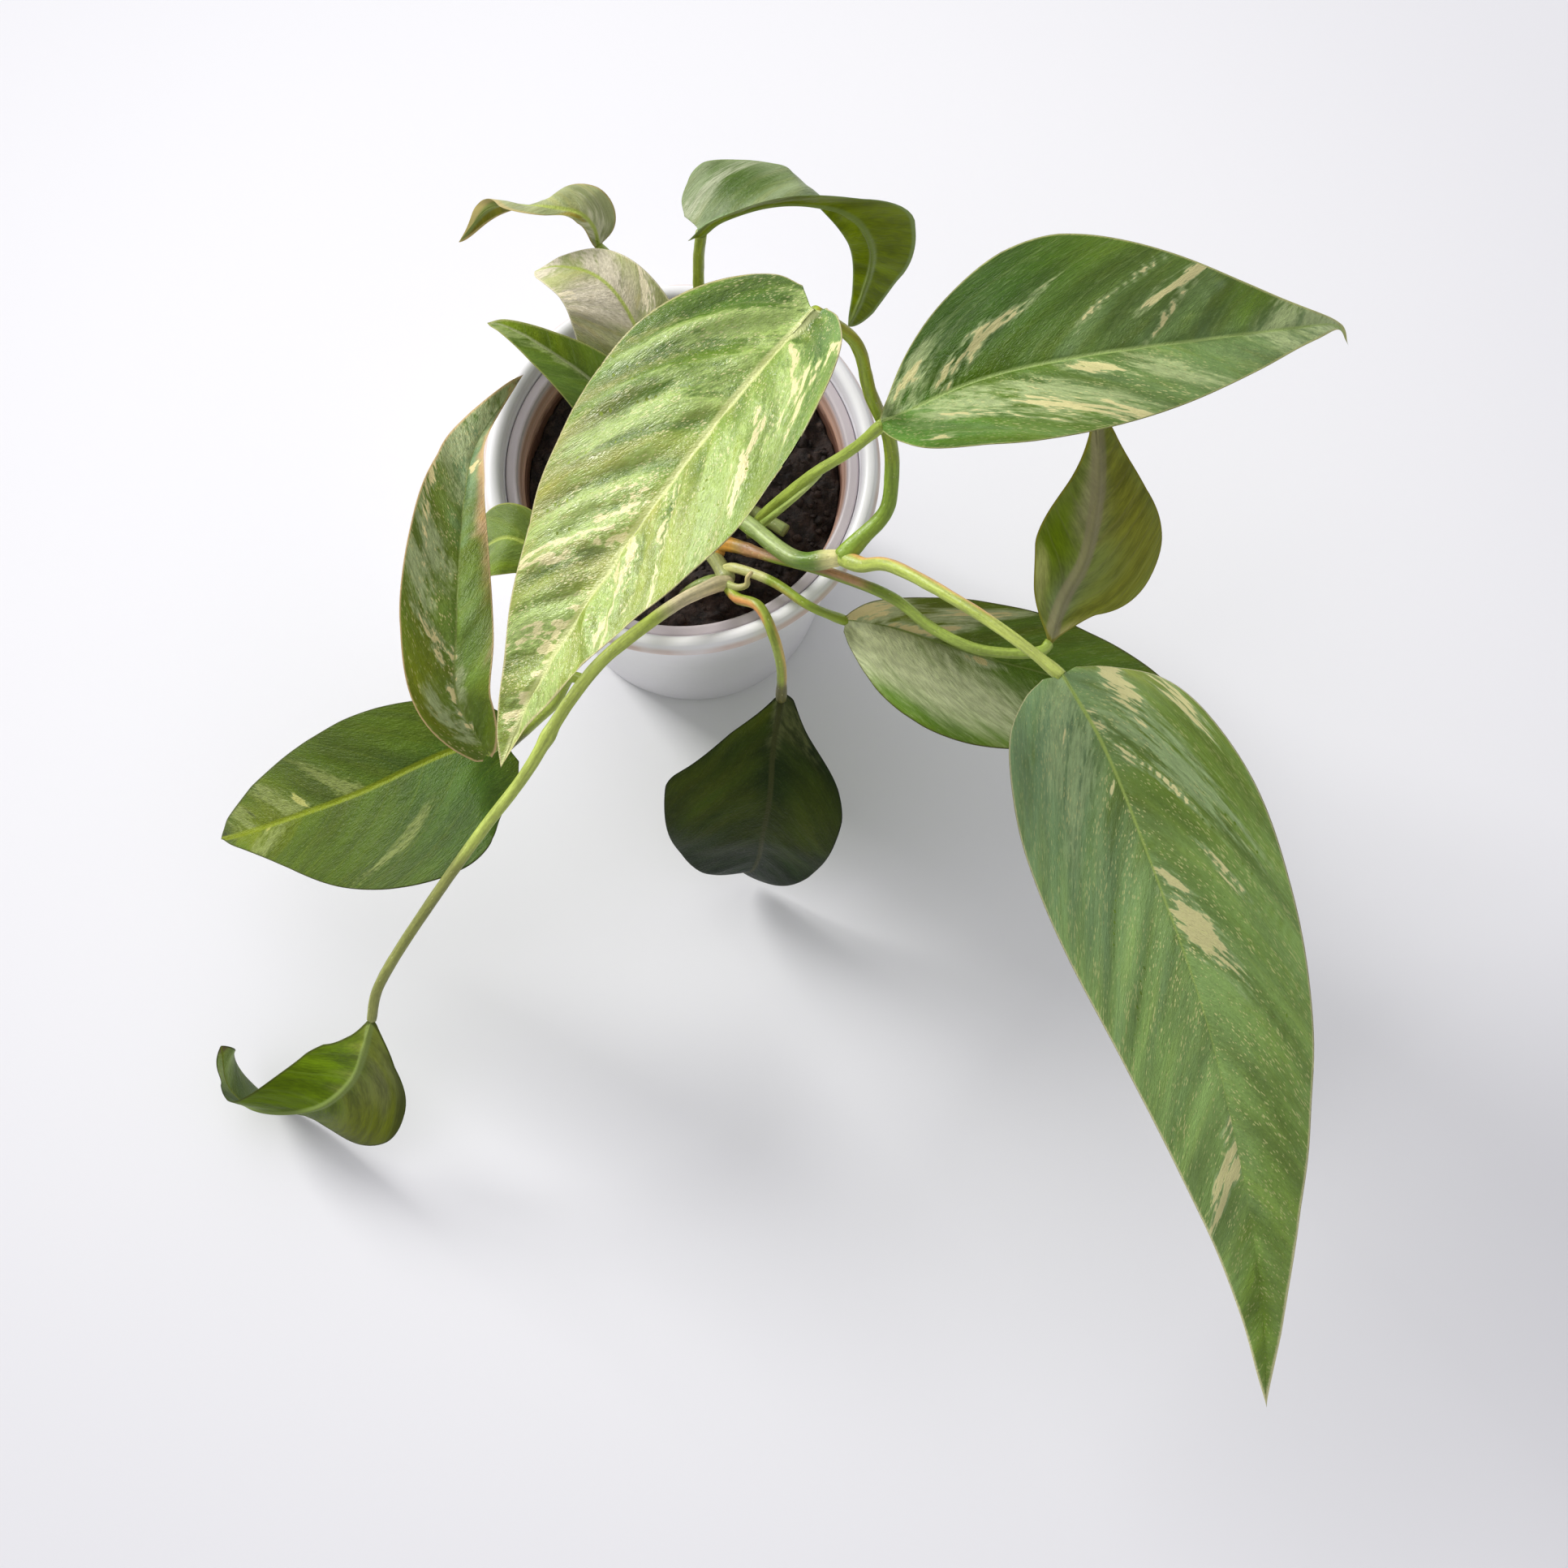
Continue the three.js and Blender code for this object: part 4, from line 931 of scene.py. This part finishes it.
def cachepot_profile():
    top = POT_HEIGHT
    outer = [[0, 0], [BASE_RADIUS - 3, 0]] + bend((BASE_RADIUS - 1.2, 1.2), 1.2, -90, -8)
    wall = [[BASE_RADIUS + (45.3 - BASE_RADIUS) * t, 1.4 + 76.6 * t] for t in np.linspace(0, 1, 14)]
    flare = bend((47.9, 79.6), 2.6, 200, 130, 5)[:3]
    lip = bend((RIM_RADIUS - 1.9, top - 2.6), 1.9, -70, 60, 12)
    lip += bend((RIM_RADIUS - 2.4, top - 2.3), 2.3, 62, 150)
    band = [[45.4, top - 2.2], [45.25, top - 2.6], [45.3, top - 2.9], [44.9, top - 4.2], [44.72, top - 4.6],
            [44.78, top - 4.9], [44.5, top - 6.5], [44.2, top - 8.3], [43.9, top - 8.9]]
    inside = [[43.2, top - 9.3], [BASE_RADIUS - 1.6, 2.8], [0, 2.8]]
    return outer + wall + flare + lip + band + inside


def nursery_profile():
    lip = POT_HEIGHT - 4
    wall_top = lip - 4.4
    outer = [[0, 2.95], [31, 2.95]] + bend((31.2, 4), 1, -85, 0, 5) + [[41.5, wall_top - 0.3]]
    edge = [[44.5, lip - 1.6]] + bend((44, lip - 0.7), 0.6, 0, 90, 5)
    edge += bend((42.6, lip - 0.8), 0.8, 70, 170, 6)
    inner = [[41.7, lip - 2.2], [41.3, lip - 2.6], [41.35, lip - 3.0], [41.0, wall_top - 0.6]]
    steps = []
    for z in (wall_top - 2, wall_top - 4.2):
        wide = 31 + (z - 4) / (wall_top - 4) * 10
        steps += [[wide, z + 0.3], [wide - 0.25, z], [wide - 0.1, z - 0.3]]
    return outer + edge + inner + steps + [[30.4, 4.3], [0, 4.3]]


def cachepot_material():
    """White plastic with a lilac cast, painted shade low on the wall and on the inner band, fine rings from
    the mould, and a brownish outer edge on the lip.
    """
    n = Nodes("cachepot_plastic")
    place = n.place()
    x, y, z = n.split(place)
    radius = n.distance(x, y)
    blotches = n.noise(place, 60, 3)
    colour = n.mix(n.ease(blotches, 0.35, 0.7, 0, 0.5), linear((246, 245, 247)), linear((240, 238, 241)))
    # The wall turns greyer towards the bottom: painted shade.
    colour = n.mix(n.ease(z, 0.0, 0.07, 0.85, 0), colour, linear((214, 212, 217)))
    # The inner band below the lip is mixed half way to a greyer lilac: painted shade.
    band = n.times(n.ease(radius, 0.0436, 0.0442), n.ease(radius, 0.0455, 0.0468, 1, 0))
    inside = n.times(band, n.ease(z, 0.079, 0.08))
    colour = n.mix(n.times(inside, 0.5), colour, linear((214, 212, 222)))
    edge = n.times(n.ease(radius, 0.0488, 0.0497), n.ease(blotches, 0.3, 0.6, 0.25, 0.8))
    colour = n.mix(edge, colour, linear((206, 176, 158)))
    rings = n.math("SINE", n.times(radius, 5200))
    scuffs = n.noise(place, 900, 3)
    return n.finish(colour, n.ease(scuffs, 0.3, 0.7, 0.28, 0.36), n.bump(rings, 0.00001, 0.3))


def nursery_material():
    """Pinkish-brown grow pot with paler rings, a lip greyed by painted shade and a dark brown band just above
    the soil.
    """
    n = Nodes("nursery_plastic")
    place = n.place()
    height_mm = n.times(n.split(place)[2], 1000)
    stains = n.noise(n.stretch(place, (1, 1, 4)), 90, 4)
    colour = n.mix(n.ease(stains, 0.35, 0.7, 0, 0.8), linear((214, 172, 152)), linear((196, 156, 140)))
    rings = n.math("SINE", n.times(height_mm, 3.6))
    colour = n.mix(n.ease(rings, 0.2, 1, 0, 0.4), colour, linear((226, 200, 190)))
    # The upper wall and lip turn greyish: painted shade.
    colour = n.mix(n.ease(height_mm, 80.8, 82.5, 0, 0.85), colour, linear((206, 200, 208)))
    # The wall is darker brown just above the soil, along a ragged line.
    ragged_height = n.times_plus(n.minus(stains, 0.5), 6.0, height_mm)
    colour = n.mix(n.ease(ragged_height, 75.6, 77.2, 0.85, 0), colour, linear((104, 62, 44)))
    grain = n.noise(place, 1200, 2)
    return n.finish(colour, n.ease(stains, 0.3, 0.7, 0.34, 0.5), n.bump(grain, 0.0001, 0.4))


def soil_material():
    """Dark peat with paler fibres and grit."""
    n = Nodes("peat")
    place = n.place()
    clods = n.noise(place, 260, 5, 0.65)
    grit = n.noise(place, 1500, 3, 0.7)
    fibres = n.noise(n.stretch(place, (1, 4, 2)), 420, 3)
    colour = n.mix(n.ease(clods, 0.35, 0.7), linear((24, 17, 15)), linear((62, 46, 40)))
    colour = n.mix(n.ease(fibres, 0.6, 0.72, 0, 0.6), colour, linear((88, 66, 54)))
    colour = n.mix(n.ease(grit, 0.64, 0.74, 0, 0.35), colour, linear((120, 100, 88)))
    height = n.times_plus(grit, 0.5, clods)
    return n.finish(colour, n.ease(grit, 0.3, 0.7, 0.7, 0.95), n.bump(height, 0.0012, 0.8))


def soil_height(x, y):
    """Height of the crumbly soil in millimetres."""
    flat = np.stack([x, y, 0 * x], axis=-1)
    mound = SOIL_LEVEL - 0.9 - 0.0012 * (x**2 + y**2)
    clods = 1.5 * bumps(flat * 0.16, 2) + 1.3 * np.abs(bumps(flat * 0.42 + 7, 2))
    return mound + clods + 0.35 * bumps(flat * 1.3 + 3, 2)


def ball():
    """Vertices and faces of a small ball of triangles."""
    shape = bmesh.new()
    bmesh.ops.create_icosphere(shape, subdivisions=2, radius=1)
    shape.verts.index_update()
    vertices = np.array([v.co[:] for v in shape.verts])
    faces = [[v.index for v in face.verts] for face in shape.faces]
    shape.free()
    return vertices, faces


def build_soil(material):
    """The soil's crumbly top, its side and flat bottom, with loose crumbs half sunk into it."""
    angle = np.linspace(0, 2 * np.pi, SOIL_SPOKES, endpoint=False)
    radius = np.linspace(0, 1, SOIL_RINGS + 1)[1:, None] ** 0.85 * SOIL_RADIUS
    x, y = radius * np.cos(angle), radius * np.sin(angle)
    top = np.stack([x, y, soil_height(x, y)], axis=-1)
    top[-1, :, 2] -= 0.8
    inward = SOIL_FLOOR_RADIUS / SOIL_RADIUS
    side = np.stack([x[-1] * inward, y[-1] * inward, np.full(SOIL_SPOKES, SOIL_FLOOR)], axis=-1)
    centre = soil_height(np.zeros(1), np.zeros(1))[0]
    vertices = [*top.reshape(-1, 3), *side, [0, 0, centre], [0, 0, SOIL_FLOOR]]
    # The rings run outwards and down, so every face is turned round.
    faces = [face[:1] + face[:0:-1] for face in closed_faces(SOIL_RINGS + 1, SOIL_SPOKES)]
    random = np.random.default_rng(4)
    crumb, crumb_faces = ball()
    for _ in range(CRUMBS):
        far, turn = CRUMB_REACH * math.sqrt(random.random()), random.random() * 2 * math.pi
        size = 0.5 + 1.3 * random.random() ** 3
        x, y = far * math.cos(turn), far * math.sin(turn)
        stretch = 0.7 + 0.6 * random.random(3)
        lumpy = crumb * (1 + 0.35 * bumps(crumb * 1.3 + random.random(3) * 50)[:, None])
        z = soil_height(np.array([x]), np.array([y]))[0] + size * 0.25
        faces += [[v + len(vertices) for v in face] for face in crumb_faces]
        vertices += list(lumpy * stretch * size + [x, y, z])
    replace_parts(add_mesh("soil_peat", vertices, faces, [material]), "soil")


def build_pots():
    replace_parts(lathe("cachepot_shell", cachepot_profile(), cachepot_material()), "cachepot")
    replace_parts(lathe("nursery_shell", nursery_profile(), nursery_material()), "nursery_pot")


def build_plant():
    stem_skin = stem_material()
    for index, name in enumerate(STEMS):
        build_stem(index, name, stem_skin)
    for index, name in enumerate(SHEATHS):
        build_sheath(index, name, stem_skin)
    for index, name in enumerate(BLADES):
        build_blade(index, name)


def build_floor():
    """A plain pale floor with a painted pool of light, a little lighter round the plant."""
    mesh = bpy.data.meshes.new("floor")
    half = 3.0
    corners = [(-half, -half, 0), (half, -half, 0), (half, half, 0), (-half, half, 0)]
    mesh.from_pydata(corners, [], [(0, 1, 2, 3)])
    n = Nodes("pale_floor")
    x, y, _ = n.split(n.stretch(n.place(), (1, 1, 1), (0.01, -0.01, 0)))
    # Lighter round the plant and darker further out: a painted pool of light.
    painted_falloff = n.ease(n.distance(x, y), 0.14, 0.36)
    mesh.materials.append(n.finish(n.mix(painted_falloff, linear((243, 243, 246)), linear((230, 230, 234))), 0.7))
    floor = bpy.data.objects.new("floor", mesh)
    bpy.context.collection.objects.link(floor)


def add_camera():
    data = bpy.data.cameras.new("camera")
    data.sensor_width = 36
    data.lens = 48.45
    camera = bpy.data.objects.new("camera", data)
    camera.location = (0.0257, -0.2106, 0.5798)
    camera.rotation_euler = (math.radians(14.5), 0, 0)
    bpy.context.collection.objects.link(camera)
    bpy.context.scene.camera = camera


def add_area_light(name, place, size, watts, colour):
    """A square soft light that looks at the plant."""
    data = bpy.data.lights.new(name, "AREA")
    data.shape = "RECTANGLE"
    data.size = data.size_y = size
    data.energy = watts
    data.color = colour
    lamp = bpy.data.objects.new(name, data)
    lamp.location = place
    lamp.rotation_euler = (Vector((0, 0, 0.08)) - Vector(place)).to_track_quat("-Z", "Y").to_euler()
    bpy.context.collection.objects.link(lamp)


def add_lights():
    add_area_light("window", (-5.6, 4.6, 3.9), 2.8, 585, (1, 0.99, 0.97))
    add_area_light("ceiling", (-0.25, 0.35, 1.2), 0.8, 2.2, (0.99, 0.99, 1))
    world = bpy.data.worlds.new("studio")
    world.use_nodes = True
    background = world.node_tree.nodes["Background"]
    background.inputs["Color"].default_value = (0.975, 0.965, 1, 1)
    background.inputs["Strength"].default_value = 0.55
    bpy.context.scene.world = world
    bpy.context.scene.view_settings.view_transform = "Standard"


add_camera()
add_lights()
build_floor()
build_pots()
build_soil(soil_material())
build_plant()
